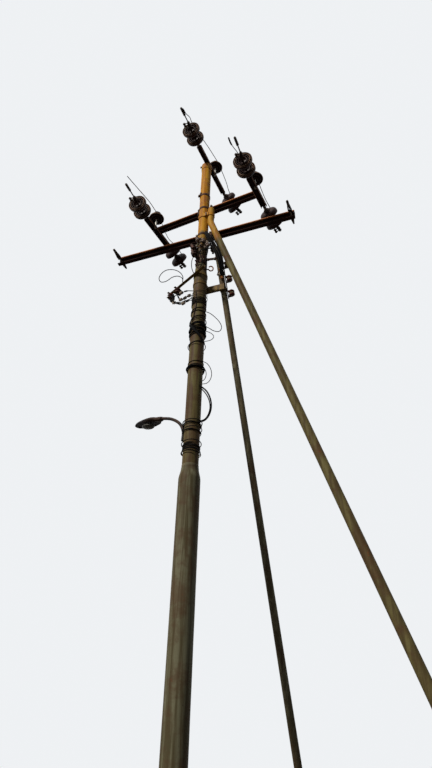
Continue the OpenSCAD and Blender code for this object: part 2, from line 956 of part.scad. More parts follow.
// Back end: it leaves the clamp's inner end and climbs over the discs
back_tail = [
    [12, clamp_top, clamp_seat + clamp_len - 8], [12, clamp_top, clamp_seat + 52],
    [12, clamp_top + 5, clamp_seat + 26], [12, 50, clamp_seat + 5], [12, 90, clamp_seat - 3],
    [12, over - 18, clamp_seat - 6], [11, over + 8, clamp_seat - 24], [9, over + 18, clamp_seat - 80],
    [8, over + 22, clamp_seat - 220]
];
top_back_side = [80, 190, -80];
right_back_side = [14, 190, -60];
left_back_side = [-14, 178, -60];

// Where a jumper is tied: at the right of the pin insulator's waist, or on its head
function beside_waist(pin_at) = [pin_at[0] + pin_waist_r() + wire_d / 2 + seat, pin_at[1], pin_stem_h + pin_waist_z];
function on_head(pin_at) = [pin_at[0], pin_at[1], pin_stem_h + pin_ins_h + wire_d / 2 + seat];

// Jumper from its front tail, past its tie on the pin insulator, to the back clamp
module jumper(length, turns, tie, tail, back_side) {
    waist = [for (along = [-34, 0, 34]) tie + [0, along, 0]];
    last = len(back_tail) - 1;
    front = [for (p = tail) string_point(p, length, -1, turns[1] - turns[0])];
    back = [for (i = [last : -1 : 0]) string_point(back_tail[i], length, 1, turns[2] - turns[0])];
    behind = [string_point(back_side, length, 1, turns[2] - turns[0])];
    wire(smooth(concat(front, waist, behind, back), 3), wire_d, [1, 0, 0]);
}

module top_jumper() {
    color("#55524c")
        at_top_member()
            jumper(top_member_len, top_turns, beside_waist(top_pin_at), top_tail, top_back_side);
}

module right_jumper() {
    color("#55524c")
        at_right_member()
            jumper(right_member_len, right_turns, on_head(right_pin_at), right_tail, right_back_side);
}

module left_jumper() {
    color("#55524c")
        at_left_member()
            jumper(left_member_len, left_turns, on_head(left_pin_at), left_tail, left_back_side);
}

// Guard wire fitting: a bolt through the lower arm's web, a wedge clamp with the wire's bore in front
// and a shorter wedge behind
guard_wedge = 190;
module guard_eye(side) {
    front_y = arm_front_y - 22;
    bore_r = 5;
    translate([guard_x(side), 0, lower_arm_z]) {
        translate([0, front_y, 0])
            rotate([-90, 0, 0])
                cylinder(d = bolt_d, h = arm_back_y - front_y + 30);
        translate([0, arm_back_y, 0])
            rotate([-90, 0, 0])
                hex(bolt_d);
        difference() {
            translate([0, front_y, -11])
                linear_extrude(22)
                    difference() {
                        polygon([
                            [-26, 6], [26, 6], [26, -40], [11, -guard_wedge], [-11, -guard_wedge], [-26, -40]
                        ]);
                        polygon([[-13, -34], [13, -34], [7, -100], [-7, -100]]);
                    }
            translate([0, front_y - guard_wedge + 60, 0])
                rotate([90, 0, 0])
                    cylinder(r = bore_r, h = 80);
        }
        translate([0, arm_back_y + 22, -9])
            linear_extrude(18)
                polygon([[-20, 0], [20, 0], [20, 34], [8, 100], [-8, 100], [-20, 34]]);
    }
}

module left_guard_eye() {
    color("#3a3632")
        guard_eye(-1);
}

module right_guard_eye() {
    color("#3a3632")
        guard_eye(1);
}

// Shackle insulator along Z, centred on the origin, with its groove round the middle
module bobbin() {
    r = bobbin_d / 2;
    h = bobbin_h;
    rotate_extrude()
        polygon([
            [bolt_d / 2 + 1, -h / 2], [r * 0.7, -h / 2], [r, -h * 0.38], [r, -h * 0.22], [r * 0.66, -h * 0.08],
            [r * 0.66, h * 0.08], [r, h * 0.22], [r, h * 0.38], [r * 0.7, h / 2], [bolt_d / 2 + 1, h / 2]
        ]);
}

// Rack of count shackle insulators: a back strap along Z with two ears and a bolt for each
module rack(count) {
    back_h = bobbin_pitch * (count - 1) + bobbin_h + 60;
    reach = bobbin_d / 2 + 12;
    translate([0, 0, -back_h / 2])
        translate([0, -rack_w / 2, 0])
            cube([rack_t, rack_w, back_h]);
    for (i = [0 : count - 1])
        translate([reach, 0, (i - (count - 1) / 2) * bobbin_pitch]) {
            cylinder(d = bolt_d, h = bobbin_h + 2 * rack_t + 16, center = true);
            for (side = [-1, 1])
                translate([-reach, -rack_w / 2, side * (bobbin_h / 2 + rack_t / 2) - rack_t / 2])
                    cube([reach + 14, rack_w, rack_t]);
        }
}

module rack_bobbins(count) {
    reach = bobbin_d / 2 + 12;
    for (i = [0 : count - 1])
        translate([reach, 0, (i - (count - 1) / 2) * bobbin_pitch])
            bobbin();
}

// Right rack stands on the back strut's right side, in line with the strut
right_rack_z = service_bar_z;
right_rack_off = back_strut_r + 8 + 3 * seat;
module at_right_rack() {
    place = along(back_foot, back_pass, right_rack_z);
    up = unit(back_pass - back_foot);
    front = unit(cross(up, [1, 0, 0]));
    right = cross(front, up);
    base = place + right * right_rack_off;
    multmatrix([
        [right[0], front[0], up[0], base[0]],
        [right[1], front[1], up[1], base[1]],
        [right[2], front[2], up[2], base[2]],
        [0, 0, 0, 1]
    ])
        children();
}

module right_rack() {
    ring_z = 110;
    color("#4a4038")
        at_right_rack()
            difference() {
                union() {
                    rack(3);
                    translate([-right_rack_off, 0, ring_z])
                        cylinder(r = right_rack_off + 1, h = band_h, center = true);
                }
                translate([-right_rack_off, 0, ring_z])
                    cylinder(r = back_strut_r + seat, h = band_h + 2, center = true);
            }
}

module right_rack_bobbins() {
    color("#6a2f22")
        at_right_rack()
            rack_bobbins(3);
}

// Service bar: an angle iron across the pole's left front, with two shackle insulators near its far end
service_turn = 152;
service_out = 530;
service_in = 190;
service_y = middle_r + seat;
service_bobbin_x = [330, 470];
service_strap = 5;
module at_service_bar() {
    translate([0, 0, service_bar_z])
        rotate([0, 0, service_turn])
            children();
}

module service_bar() {
    bar_h = 40;
    reach = bobbin_h / 2 + service_strap;
    color("#5a4630")
        at_service_bar() {
            translate([-service_in, service_y, 0])
                cube([service_in + service_out, 5, bar_h]);
            translate([-service_in, service_y, 0])
                cube([service_in + service_out, bar_h, 5]);
            service_band();
            for (x = service_bobbin_x)
                translate([x, service_y + 22, -12 - reach]) {
                    for (side = [-1, 1])
                        translate([-16, -(bobbin_d / 2 + 16), side * (reach - 2.5) - 2.5])
                            cube([32, bobbin_d / 2 + 34, service_strap]);
                    translate([-16, -(bobbin_d / 2 + 16), -reach])
                        cube([32, service_strap, 2 * reach]);
                    cylinder(d = bolt_d, h = 2 * reach + 24, center = true);
                }
        }
}

// Band that ties the service bar to the pole
module service_band() {
    difference() {
        translate([0, 0, 4])
            cylinder(r = service_y + strap_t, h = band_h);
        translate([0, 0, 3])
            cylinder(r = service_y, h = band_h + 2);
    }
}

module service_bobbins() {
    reach = bobbin_h / 2 + service_strap;
    color("#6a2f22")
        at_service_bar()
            for (x = service_bobbin_x)
                translate([x, service_y + 22, -12 - reach])
                    bobbin();
}

// Lamp arm: a tube up the pole's left side that bends out to the lamp
lamp_out = [-290, 60, 360];
lamp_dir = unit([-0.86, 0.46, 0.2]);
lamp_z = lower_top + lamp_rise;
lamp_foot = [-(middle_r + lamp_tube_d / 2 + seat), 0, lamp_z];
lamp_neck = lamp_foot + lamp_out;

module lamp_arm() {
    path = smooth([
        lamp_foot, lamp_foot + [0, 0, 110], lamp_foot + [-50, 8, 220], lamp_foot + [-160, 32, 310], lamp_neck
    ], 5);
    color("#77736a")
        wire(path, lamp_tube_d, [0, 1, 0], 16);
}

// Frame of the lamp head: +X along the head, from the neck outwards
module at_lamp() {
    translate(lamp_neck)
        rotate([0, -asin(lamp_dir[2]), atan2(lamp_dir[1], lamp_dir[0])])
            children();
}

module lamp_head() {
    color("#55534e")
        at_lamp()
            hull() {
                translate([30, 0, 0])
                    cylinder(d = 60, h = 50, center = true);
                translate([lamp_len * 0.4, 0, 5])
                    cylinder(d = lamp_w, h = 46, center = true);
                translate([lamp_len - 60, 0, 0])
                    cylinder(d = 110, h = 36, center = true);
            }
}

module lamp_lens() {
    color("#9a988c")
        at_lamp()
            translate([lamp_len * 0.5, 0, -46])
                scale([1.6, 1, 0.4])
                    sphere(d = 120);
}

// Places of the wire turns and of the wound cable: drops below the middle tube's mouth,
// and the rise of the lower turns above the lower tube's mouth
upper_turns_drop = 660;
wraps_high_drop = 684;
wraps_low_drop = 1340;
lower_turns_rise = 195;

// Rings of wire round the middle tube at the given heights
module wire_rings(heights) {
    for (z = heights)
        translate([0, 0, z])
            rotate_extrude()
                translate([middle_r + cable_d / 2 + seat, 0])
                    circle(d = cable_d, $fn = 16);
}

module upper_wire_turns() {
    color("#2c2a28")
        wire_rings([for (i = [0 : 5]) middle_top - upper_turns_drop + i * 24]);
}

module lower_wire_turns() {
    color("#2c2a28")
        wire_rings([for (i = [0 : 3]) lower_top + lower_turns_rise + i * 20]);
}

// Points of a cable wound round the middle tube from height z0 to z1
function winding(z0, z1, turns, start, steps) = [
    for (i = [0 : steps])
        let(u = i / steps, a = start + 360 * turns * u, r = (middle_r + cable_d / 2 + seat) / cos(180 * turns / steps))
        [r * cos(a), r * sin(a), z0 + (z1 - z0) * u]
];

module cable_wraps() {
    cable_path = winding(middle_top - wraps_low_drop, middle_top - wraps_high_drop, 7, 40, 168);
    color("#242220")
        wire(cable_path, cable_d, [0, 0, 1], 8);
}

pole_lower();
pole_middle();
pole_upper();
pale_band();
dark_band();
right_strut();
back_strut();
right_strut_clamp();
back_strut_bracket();
back_strut_plate();
upper_crossarm();
lower_crossarm();
upper_arm_clamp();
lower_arm_clamp();
top_cap();
top_member();
right_member();
left_member();
top_front_discs();
top_back_discs();
right_front_discs();
right_back_discs();
left_front_discs();
left_back_discs();
top_front_fittings();
top_back_fittings();
right_front_fittings();
right_back_fittings();
left_front_fittings();
left_back_fittings();
top_pin_insulator();
right_pin_insulator();
left_pin_insulator();
top_pin();
right_pin();
left_pin();
top_jumper();
right_jumper();
left_jumper();
left_guard_eye();
right_guard_eye();
right_rack();
right_rack_bobbins();
service_bar();
service_bobbins();
lamp_arm();
lamp_head();
lamp_lens();
upper_wire_turns();
lower_wire_turns();
cable_wraps();
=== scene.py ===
"""Looks of the stepped steel line pole. Lengths in the code are millimetres unless a name ends in _m."""

import math
from contextlib import contextmanager

import bmesh
import bpy
from mathutils import Matrix, Vector, noise


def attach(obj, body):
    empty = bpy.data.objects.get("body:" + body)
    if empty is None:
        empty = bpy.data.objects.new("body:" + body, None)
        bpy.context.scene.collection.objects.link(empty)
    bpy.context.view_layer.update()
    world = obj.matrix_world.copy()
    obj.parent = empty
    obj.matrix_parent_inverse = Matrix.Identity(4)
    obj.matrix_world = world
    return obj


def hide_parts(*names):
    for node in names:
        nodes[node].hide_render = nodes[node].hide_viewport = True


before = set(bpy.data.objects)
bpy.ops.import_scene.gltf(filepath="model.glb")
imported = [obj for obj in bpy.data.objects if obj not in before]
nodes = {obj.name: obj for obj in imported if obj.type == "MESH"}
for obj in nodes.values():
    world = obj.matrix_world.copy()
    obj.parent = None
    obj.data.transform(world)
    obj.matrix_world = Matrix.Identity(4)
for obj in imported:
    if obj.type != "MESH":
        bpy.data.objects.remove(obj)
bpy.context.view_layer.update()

MM = 0.001

# camera

CAMERA_AT_M = Vector((2.028, -4.625, 1.63))
LOOK_FLAT = Vector((-0.3584, 0.9336, 0.0))
PITCH = math.radians(34.8)
ROLL = math.radians(1.65)
FOCAL_PX = 555.0
FRAME_LONG_PX = 768.0
SENSOR_MM = 36.0


def make_camera():
    ahead = LOOK_FLAT.normalized()
    side = Vector((ahead.y, -ahead.x, 0.0))
    sky = Vector((0.0, 0.0, 1.0))
    forward = ahead * math.cos(PITCH) + sky * math.sin(PITCH)
    level_up = sky * math.cos(PITCH) - ahead * math.sin(PITCH)
    up = level_up * math.cos(ROLL) - side * math.sin(ROLL)
    right = side * math.cos(ROLL) + level_up * math.sin(ROLL)
    data = bpy.data.cameras.new("camera")
    data.lens = SENSOR_MM * FOCAL_PX / FRAME_LONG_PX
    data.sensor_width = SENSOR_MM
    data.clip_end = 500.0
    camera = bpy.data.objects.new("camera", data)
    bpy.context.scene.collection.objects.link(camera)
    turned = Matrix((right, up, -forward)).transposed().to_4x4()
    camera.matrix_world = Matrix.Translation(CAMERA_AT_M) @ turned
    bpy.context.scene.camera = camera


make_camera()

# materials


def linear_colour(*levels):
    """Linear colour of an 8-bit sRGB one."""
    parts = [level / 255.0 for level in levels]
    return (*(p / 12.92 if p <= 0.04045 else ((p + 0.055) / 1.055) ** 2.4 for p in parts), 1.0)


def put(tree, value, target):
    """Joins a socket to an input, or sets it; a colour of three numbers is an 8-bit sRGB one."""
    if isinstance(value, bpy.types.NodeSocket):
        tree.links.new(value, target)
    elif target.type == "RGBA" and len(value) == 3:
        target.default_value = linear_colour(*value)
    else:
        target.default_value = value


def add_node(tree, kind, **inputs):
    """A node with the named inputs put in; an underscore in a name stands for a space."""
    node = tree.nodes.new(kind)
    for name, value in inputs.items():
        put(tree, value, node.inputs[name.replace("_", " ")])
    return node


def calculated(tree, operation, a, b):
    node = add_node(tree, "ShaderNodeMath")
    node.operation = operation
    put(tree, a, node.inputs[0])
    put(tree, b, node.inputs[1])
    return node.outputs["Value"]


class Look:
    """A node material under construction. Places are row-frame coordinates, in metres."""

    def __init__(self, name, roughness=0.6, metallic=0.0, specular=0.5):
        self.material = bpy.data.materials.new(name)
        self.material.use_nodes = True
        self.tree = self.material.node_tree
        self.shader = self.tree.nodes["Principled BSDF"]
        self.set(Roughness=roughness, Metallic=metallic, Specular_IOR_Level=specular)
        self.place = self.node("ShaderNodeTexCoord").outputs["Object"]

    def set(self, **inputs):
        for name, value in inputs.items():
            put(self.tree, value, self.shader.inputs[name.replace("_", " ")])

    def node(self, kind, **inputs):
        return add_node(self.tree, kind, **inputs)

    def stretched(self, x, y, z):
        return self.node("ShaderNodeMapping", Scale=(x, y, z), Vector=self.place).outputs["Vector"]

    def noise(self, scale, detail=5.0, roughness=0.55, at=None, distortion=0.0):
        return self.node("ShaderNodeTexNoise", Scale=scale, Detail=detail, Roughness=roughness,
                         Distortion=distortion, Vector=at or self.place).outputs["Fac"]

    def cells(self, scale, output):
        return self.node("ShaderNodeTexVoronoi", Scale=scale, Vector=self.place).outputs[output]

    def part(self, vector, axis):
        return self.node("ShaderNodeSeparateXYZ", Vector=vector).outputs[axis]

    def band(self, value, low, high):
        """0 below low and 1 above high, smooth between them; low may be the larger."""
        node = self.node("ShaderNodeMapRange", Value=value, From_Min=min(low, high), From_Max=max(low, high),
                         To_Min=1.0 if low > high else 0.0, To_Max=0.0 if low > high else 1.0)
        node.interpolation_type = "SMOOTHSTEP"
        return node.outputs["Result"]

    def plus(self, a, b):
        return calculated(self.tree, "ADD", a, b)

    def times(self, a, b):
        return calculated(self.tree, "MULTIPLY", a, b)

    def mix(self, share, a, b):
        node = self.node("ShaderNodeMix")
        node.data_type = "RGBA"
        for name, value in (("Factor", share), ("A", a), ("B", b)):
            put(self.tree, value, node.inputs[name])
        return node.outputs["Result"]

    def cover(self, colour, over, value, low, high, share=1.0):
        """The colour with another over it, where the value passes from low to high, by that share."""
        amount = self.band(value, low, high)
        return self.mix(self.times(amount, share) if share < 1.0 else amount, colour, over)

    def bump(self, height, strength, distance_m):
        node = self.node("ShaderNodeBump", Strength=strength, Distance=distance_m, Height=height)
        self.set(Normal=node.outputs["Normal"])

    def finish(self, colour, value, rough, spread):
        """The material, with this colour and a roughness of rough plus spread times the value."""
        self.set(Base_Color=colour, Roughness=self.plus(rough, self.times(value, spread)))
        return self.material


def painted_look(name, light, dark, rust_share, top=None):
    """Weathered paint: long upright stains, rust patches, and a top colour above a height if given."""
    look = Look(name, specular=0.06)
    stains = look.noise(1.0, detail=8.0, at=look.stretched(26.0, 26.0, 1.3), distortion=0.8)
    blotches = look.noise(5.5, detail=7.0, roughness=0.64)
    grain = look.noise(90.0, detail=4.0)
    grime, faded, pits = (74, 52, 36), (140, 88, 60), (44, 36, 28)
    dark_rust, rust_brown = (78, 42, 26), (132, 78, 44)
    colour = look.cover(dark, light, stains, 0.38, 0.63)
    colour = look.cover(colour, grime, blotches, 0.44, 0.62, 0.6)
    if top:
        low_m, high_m, top_light, top_dark = top
        tone = look.cover(top_dark, top_light, stains, 0.38, 0.62)
        tone = look.cover(tone, faded, blotches, 0.5, 0.62, 0.55)
        sway = look.times(calculated(look.tree, "SUBTRACT", blotches, 0.5), 1.2)
        colour = look.cover(colour, tone, look.plus(look.part(look.place, "Z"), sway), low_m, high_m)
    spots = look.noise(34.0, detail=6.0, roughness=0.7)
    mottle = look.plus(look.times(spots, 0.55), look.times(blotches, 0.45))
    rust = look.band(mottle, 0.66 - 0.16 * rust_share, 0.73 - 0.1 * rust_share)
    colour = look.mix(rust, colour, look.mix(grain, dark_rust, rust_brown))
    colour = look.cover(colour, pits, grain, 0.36, 0.24)
    look.bump(look.plus(grain, look.times(spots, 1.5)), 0.4, 0.0014)
    return look.finish(colour, rust, 0.55, 0.35)


def rust_look(name, light, dark, bright, bright_share=0.7):
    """Rusted structural steel with scale, brighter worn spots and dark grime."""
    look = Look(name, specular=0.06)
    large = look.noise(6.0, detail=6.0, roughness=0.6)
    small = look.noise(60.0, detail=6.0, roughness=0.65)
    fine = look.noise(240.0, detail=3.0)
    grime = (30, 19, 16)
    colour = look.cover(dark, light, large, 0.36, 0.64)
    colour = look.cover(colour, bright, small, 0.53, 0.66, bright_share)
    colour = look.cover(colour, grime, small, 0.43, 0.33, 0.75)
    look.bump(look.plus(small, look.times(fine, 0.4)), 0.6, 0.0016)
    return look.finish(colour, fine, 0.66, 0.25)


def iron_look(name, base, worn, metallic=0.35):
    """Dark weathered iron with worn grey and rusty spots."""
    look = Look(name, metallic=metallic, specular=0.15)
    large = look.noise(14.0, detail=6.0)
    small = look.noise(110.0, detail=5.0, roughness=0.65)
    rusty = (104, 58, 36)
    colour = look.cover(base, worn, large, 0.42, 0.64)
    colour = look.cover(colour, rusty, small, 0.54, 0.66, 0.6)
    look.bump(small, 0.4, 0.0008)
    return look.finish(colour, small, 0.5, 0.35)


def zinc_look(name, light, dark):
    """Dull galvanised steel with its spangle and stains."""
    look = Look(name, metallic=0.55)
    stains = look.noise(20.0, detail=6.0)
    stain = (110, 96, 80)
    colour = look.mix(look.part(look.cells(160.0, "Color"), "X"), dark, light)
    colour = look.cover(colour, stain, stains, 0.56, 0.7, 0.6)
    look.bump(stains, 0.15, 0.0006)
    return look.finish(colour, stains, 0.4, 0.3)


def glaze_look(name, base, light, dust_colour, dust_share=0.6):
    """Salt glaze under dust: satin sides, dull dusty upper faces and dusty patches."""
    look = Look(name, specular=0.1)
    mottle = look.noise(38.0, detail=5.0)
    dust = look.noise(16.0, detail=7.0, roughness=0.65)
    colour = look.cover(base, light, mottle, 0.35, 0.68)
    upward = look.band(look.part(look.node("ShaderNodeNewGeometry").outputs["Normal"], "Z"), 0.15, 0.85)
    dusty = look.times(upward, look.band(dust, 0.34, 0.6))
    patchy = look.times(look.band(dust, 0.56, 0.72), 0.16)
    share = calculated(look.tree, "MAXIMUM", look.times(dusty, dust_share), patchy)
    look.bump(look.plus(mottle, look.times(dust, 0.5)), 0.12, 0.0008)
    return look.finish(look.mix(share, colour, dust_colour), share, 0.44, 0.5)


def wire_look(name, light, dark, metallic, lay):
    """Stranded wire or cable: fine slanted lay, stains and dull patches."""
    look = Look(name, metallic=metallic, specular=0.05)
    wave = look.node("ShaderNodeTexWave", Scale=lay, Distortion=0.4, Vector=look.place)
    wave.bands_direction = "DIAGONAL"
    strands = wave.outputs["Fac"]
    stains = look.noise(24.0, detail=5.0)
    colour = look.cover(dark, light, stains, 0.36, 0.64)
    colour = look.cover(colour, dark, strands, 0.45, 0.1, 0.5)
    look.bump(strands, 0.3, 0.0006)
    return look.finish(colour, stains, 0.5, 0.3)


def lens_look(name, light, dark):
    """Dusty patterned lamp lens."""
    look = Look(name, roughness=0.3, specular=0.4)
    look.set(Transmission_Weight=0.35, IOR=1.45)
    dust = look.noise(30.0, detail=6.0)
    look.bump(look.cells(120.0, "Distance"), 0.4, 0.0015)
    return look.finish(look.cover(light, dark, dust, 0.4, 0.65), dust, 0.28, 0.4)


DUST = (58, 38, 30)
POLE_LOWER = painted_look("weathered_lower_tube", (104, 101, 80), (74, 67, 47), 0.3)
POLE_MIDDLE = painted_look("weathered_middle_tube", (98, 90, 55), (76, 59, 42), 0.4)
OCHRE = painted_look("ochre_paint", (104, 98, 68), (72, 64, 42), 0.5,
                     top=(7.3, 7.6, (196, 142, 44), (160, 102, 20)))
RIGHT_STRUT = painted_look("right_strut_paint", (100, 92, 58), (76, 66, 42), 0.5,
                           top=(7.2, 7.7, (186, 142, 58), (158, 108, 34)))
BACK_STRUT = painted_look("back_strut_paint", (116, 110, 86), (84, 76, 56), 0.4)
EYE_PAINT = painted_look("orange_paint", (178, 108, 52), (126, 72, 34), 0.5)
BRACKET = painted_look("bracket_paint", (128, 104, 56), (82, 66, 40), 0.5)
PALE = painted_look("pale_band_paint", (128, 122, 98), (92, 88, 68), 0.1)
LAMP_METAL = painted_look("lamp_metal", (54, 52, 54), (34, 33, 36), 0.2)
CHANNEL = rust_look("rusted_channel", (52, 29, 22), (32, 19, 15), (92, 48, 30))
# The lips' pale orange is a painted highlight of their sunlit edges, over rust
CHANNEL_LIP_HIGHLIGHT = rust_look("channel_lip_painted_highlight", (206, 138, 88), (166, 100, 62), (226, 172, 122))
# The inside's near black is painted shade under the top flange, over rust
CHANNEL_INSIDE_SHADE = rust_look("channel_inside_painted_shade", (42, 25, 20), (24, 15, 13), (78, 42, 28), 0.35)
MEMBER = rust_look("rusted_member", (50, 33, 28), (30, 21, 19), (84, 48, 36))
MEMBER_LIP = rust_look("worn_member_lip", (196, 156, 132), (150, 108, 88), (222, 194, 172))
IRON = iron_look("dark_iron", (40, 33, 30), (72, 62, 55))
IRON_WORN = iron_look("worn_iron", (112, 100, 88), (160, 148, 132), metallic=0.3)
STRAP = iron_look("rusty_strap", (50, 31, 24), (78, 48, 36), metallic=0.15)
ZINC = zinc_look("galvanised", (214, 212, 202), (158, 154, 144))
GLAZE = glaze_look("brown_glaze", (34, 17, 13), (56, 30, 22), DUST, 0.25)
# The pale beige rim glaze is a painted highlight of lit rim, rib and skirt edges
GLAZE_RIM_HIGHLIGHT = glaze_look("glaze_rim_painted_highlight", (126, 98, 78), (166, 136, 112), (150, 124, 102))
PALE_GLAZE = glaze_look("pale_glaze", (132, 112, 104), (168, 150, 140), DUST)
RED_GLAZE = glaze_look("red_brown_glaze", (62, 30, 24), (102, 52, 40), DUST)
BARE_WIRE = wire_look("bare_wire", (58, 53, 50), (30, 27, 26), 0.3, 90.0)
IRON_WIRE = wire_look("iron_wire", (48, 42, 37), (26, 23, 21), 0.3, 120.0)
LIGHT_WIRE = wire_look("light_wire", (178, 172, 138), (120, 114, 84), 0.2, 120.0)
CABLE = wire_look("black_cable", (11, 10, 11), (5, 5, 6), 0.0, 40.0)
LAMP_GLASS = lens_look("lamp_glass", (96, 96, 88), (60, 56, 48))

# the CAD's own solids, which pieces stand for further down, keep one plain material
for node in nodes.values():
    node.data.materials.clear()
    node.data.materials.append(IRON)

# mesh code

SHARP = math.radians(35.0)
# Numbers of a piece's materials: WORN is for bolts and wear on iron, the next three are a rolled channel's;
# on the crossarms the lip carries a painted highlight and the inside painted shade
WORN = 1
OUTSIDE, LIP, INSIDE = 0, 1, 2
# Local X, Y and Z laid along Y, Z and X, and along X, Z and -Y
CYCLED = Matrix(((0, 0, 1, 0), (1, 0, 0, 0), (0, 1, 0, 0), (0, 0, 0, 1)))
UPRIGHT = Matrix(((1, 0, 0, 0), (0, 0, -1, 0), (0, 1, 0, 0), (0, 0, 0, 1)))


def shift(x=0.0, y=0.0, z=0.0):
    return Matrix.Translation((x, y, z))


def turn(degrees, axis):
    return Matrix.Rotation(math.radians(degrees), 4, axis)


def polar(r, degrees, z=0.0):
    return Vector((r * math.cos(math.radians(degrees)), r * math.sin(math.radians(degrees)), z))


def arc(r, start, sweep, steps):
    """Points at radius r from the angle start over the sweep, in degrees."""
    return [polar(r, start + sweep * k / steps) for k in range(steps + 1)]


def ring(r, count, z=0.0):
    return [polar(r, 360 * k / count, z) for k in range(count)]


def angles(count, more=0):
    """Angles in radians of count even steps round a circle, and of more steps after it."""
    return [2 * math.pi * k / count for k in range(count + more)]


def aimed(origin, towards):
    """Place with +Z along the line from origin towards the other point."""
    ahead = (Vector(towards) - Vector(origin)).normalized()
    across = Vector((0, 0, 1)).cross(ahead)
    if across.length < 1e-3:
        across = Vector((0, 1, 0)).cross(ahead)
    across.normalize()
    return Matrix.Translation(origin) @ Matrix((across, ahead.cross(across), ahead)).transposed().to_4x4()


def rounded(outline, cut=0.25, times=2, closed=True):
    """The outline with its corners cut, each time by that share of the sides."""
    for _ in range(times):
        fresh = []
        count = len(outline)
        for i in range(count if closed else count - 1):
            a, b = outline[i], outline[(i + 1) % count]
            fresh.append(tuple(p + (q - p) * cut for p, q in zip(a, b)))
            fresh.append(tuple(q + (p - q) * cut for p, q in zip(a, b)))
        outline = fresh if closed else [outline[0]] + fresh[1:-1] + [outline[-1]]
    return outline


def headings(path, closed=False):
    """Direction of travel at each point of the path."""
    count = len(path)
    found = []
    for i in range(count):
        before = path[i - 1] if i or closed else path[i]
        after = path[(i + 1) % count] if i < count - 1 or closed else path[i]
        found.append((after - before).normalized())
    return found


def smooth_path(points, steps):
    """A smooth curve through the points, with that many steps between each two."""
    points = [Vector(p) for p in points]
    heading = headings(points)
    path = []
    for i in range(len(points) - 1):
        b, c = points[i], points[i + 1]
        reach = (c - b).length
        for k in range(steps):
            u = k / steps
            path.append(b * (2 * u ** 3 - 3 * u ** 2 + 1) + heading[i] * reach * (u ** 3 - 2 * u ** 2 + u)
                        + c * (3 * u ** 2 - 2 * u ** 3) + heading[i + 1] * reach * (u ** 3 - u ** 2))
    return path + [points[-1]]


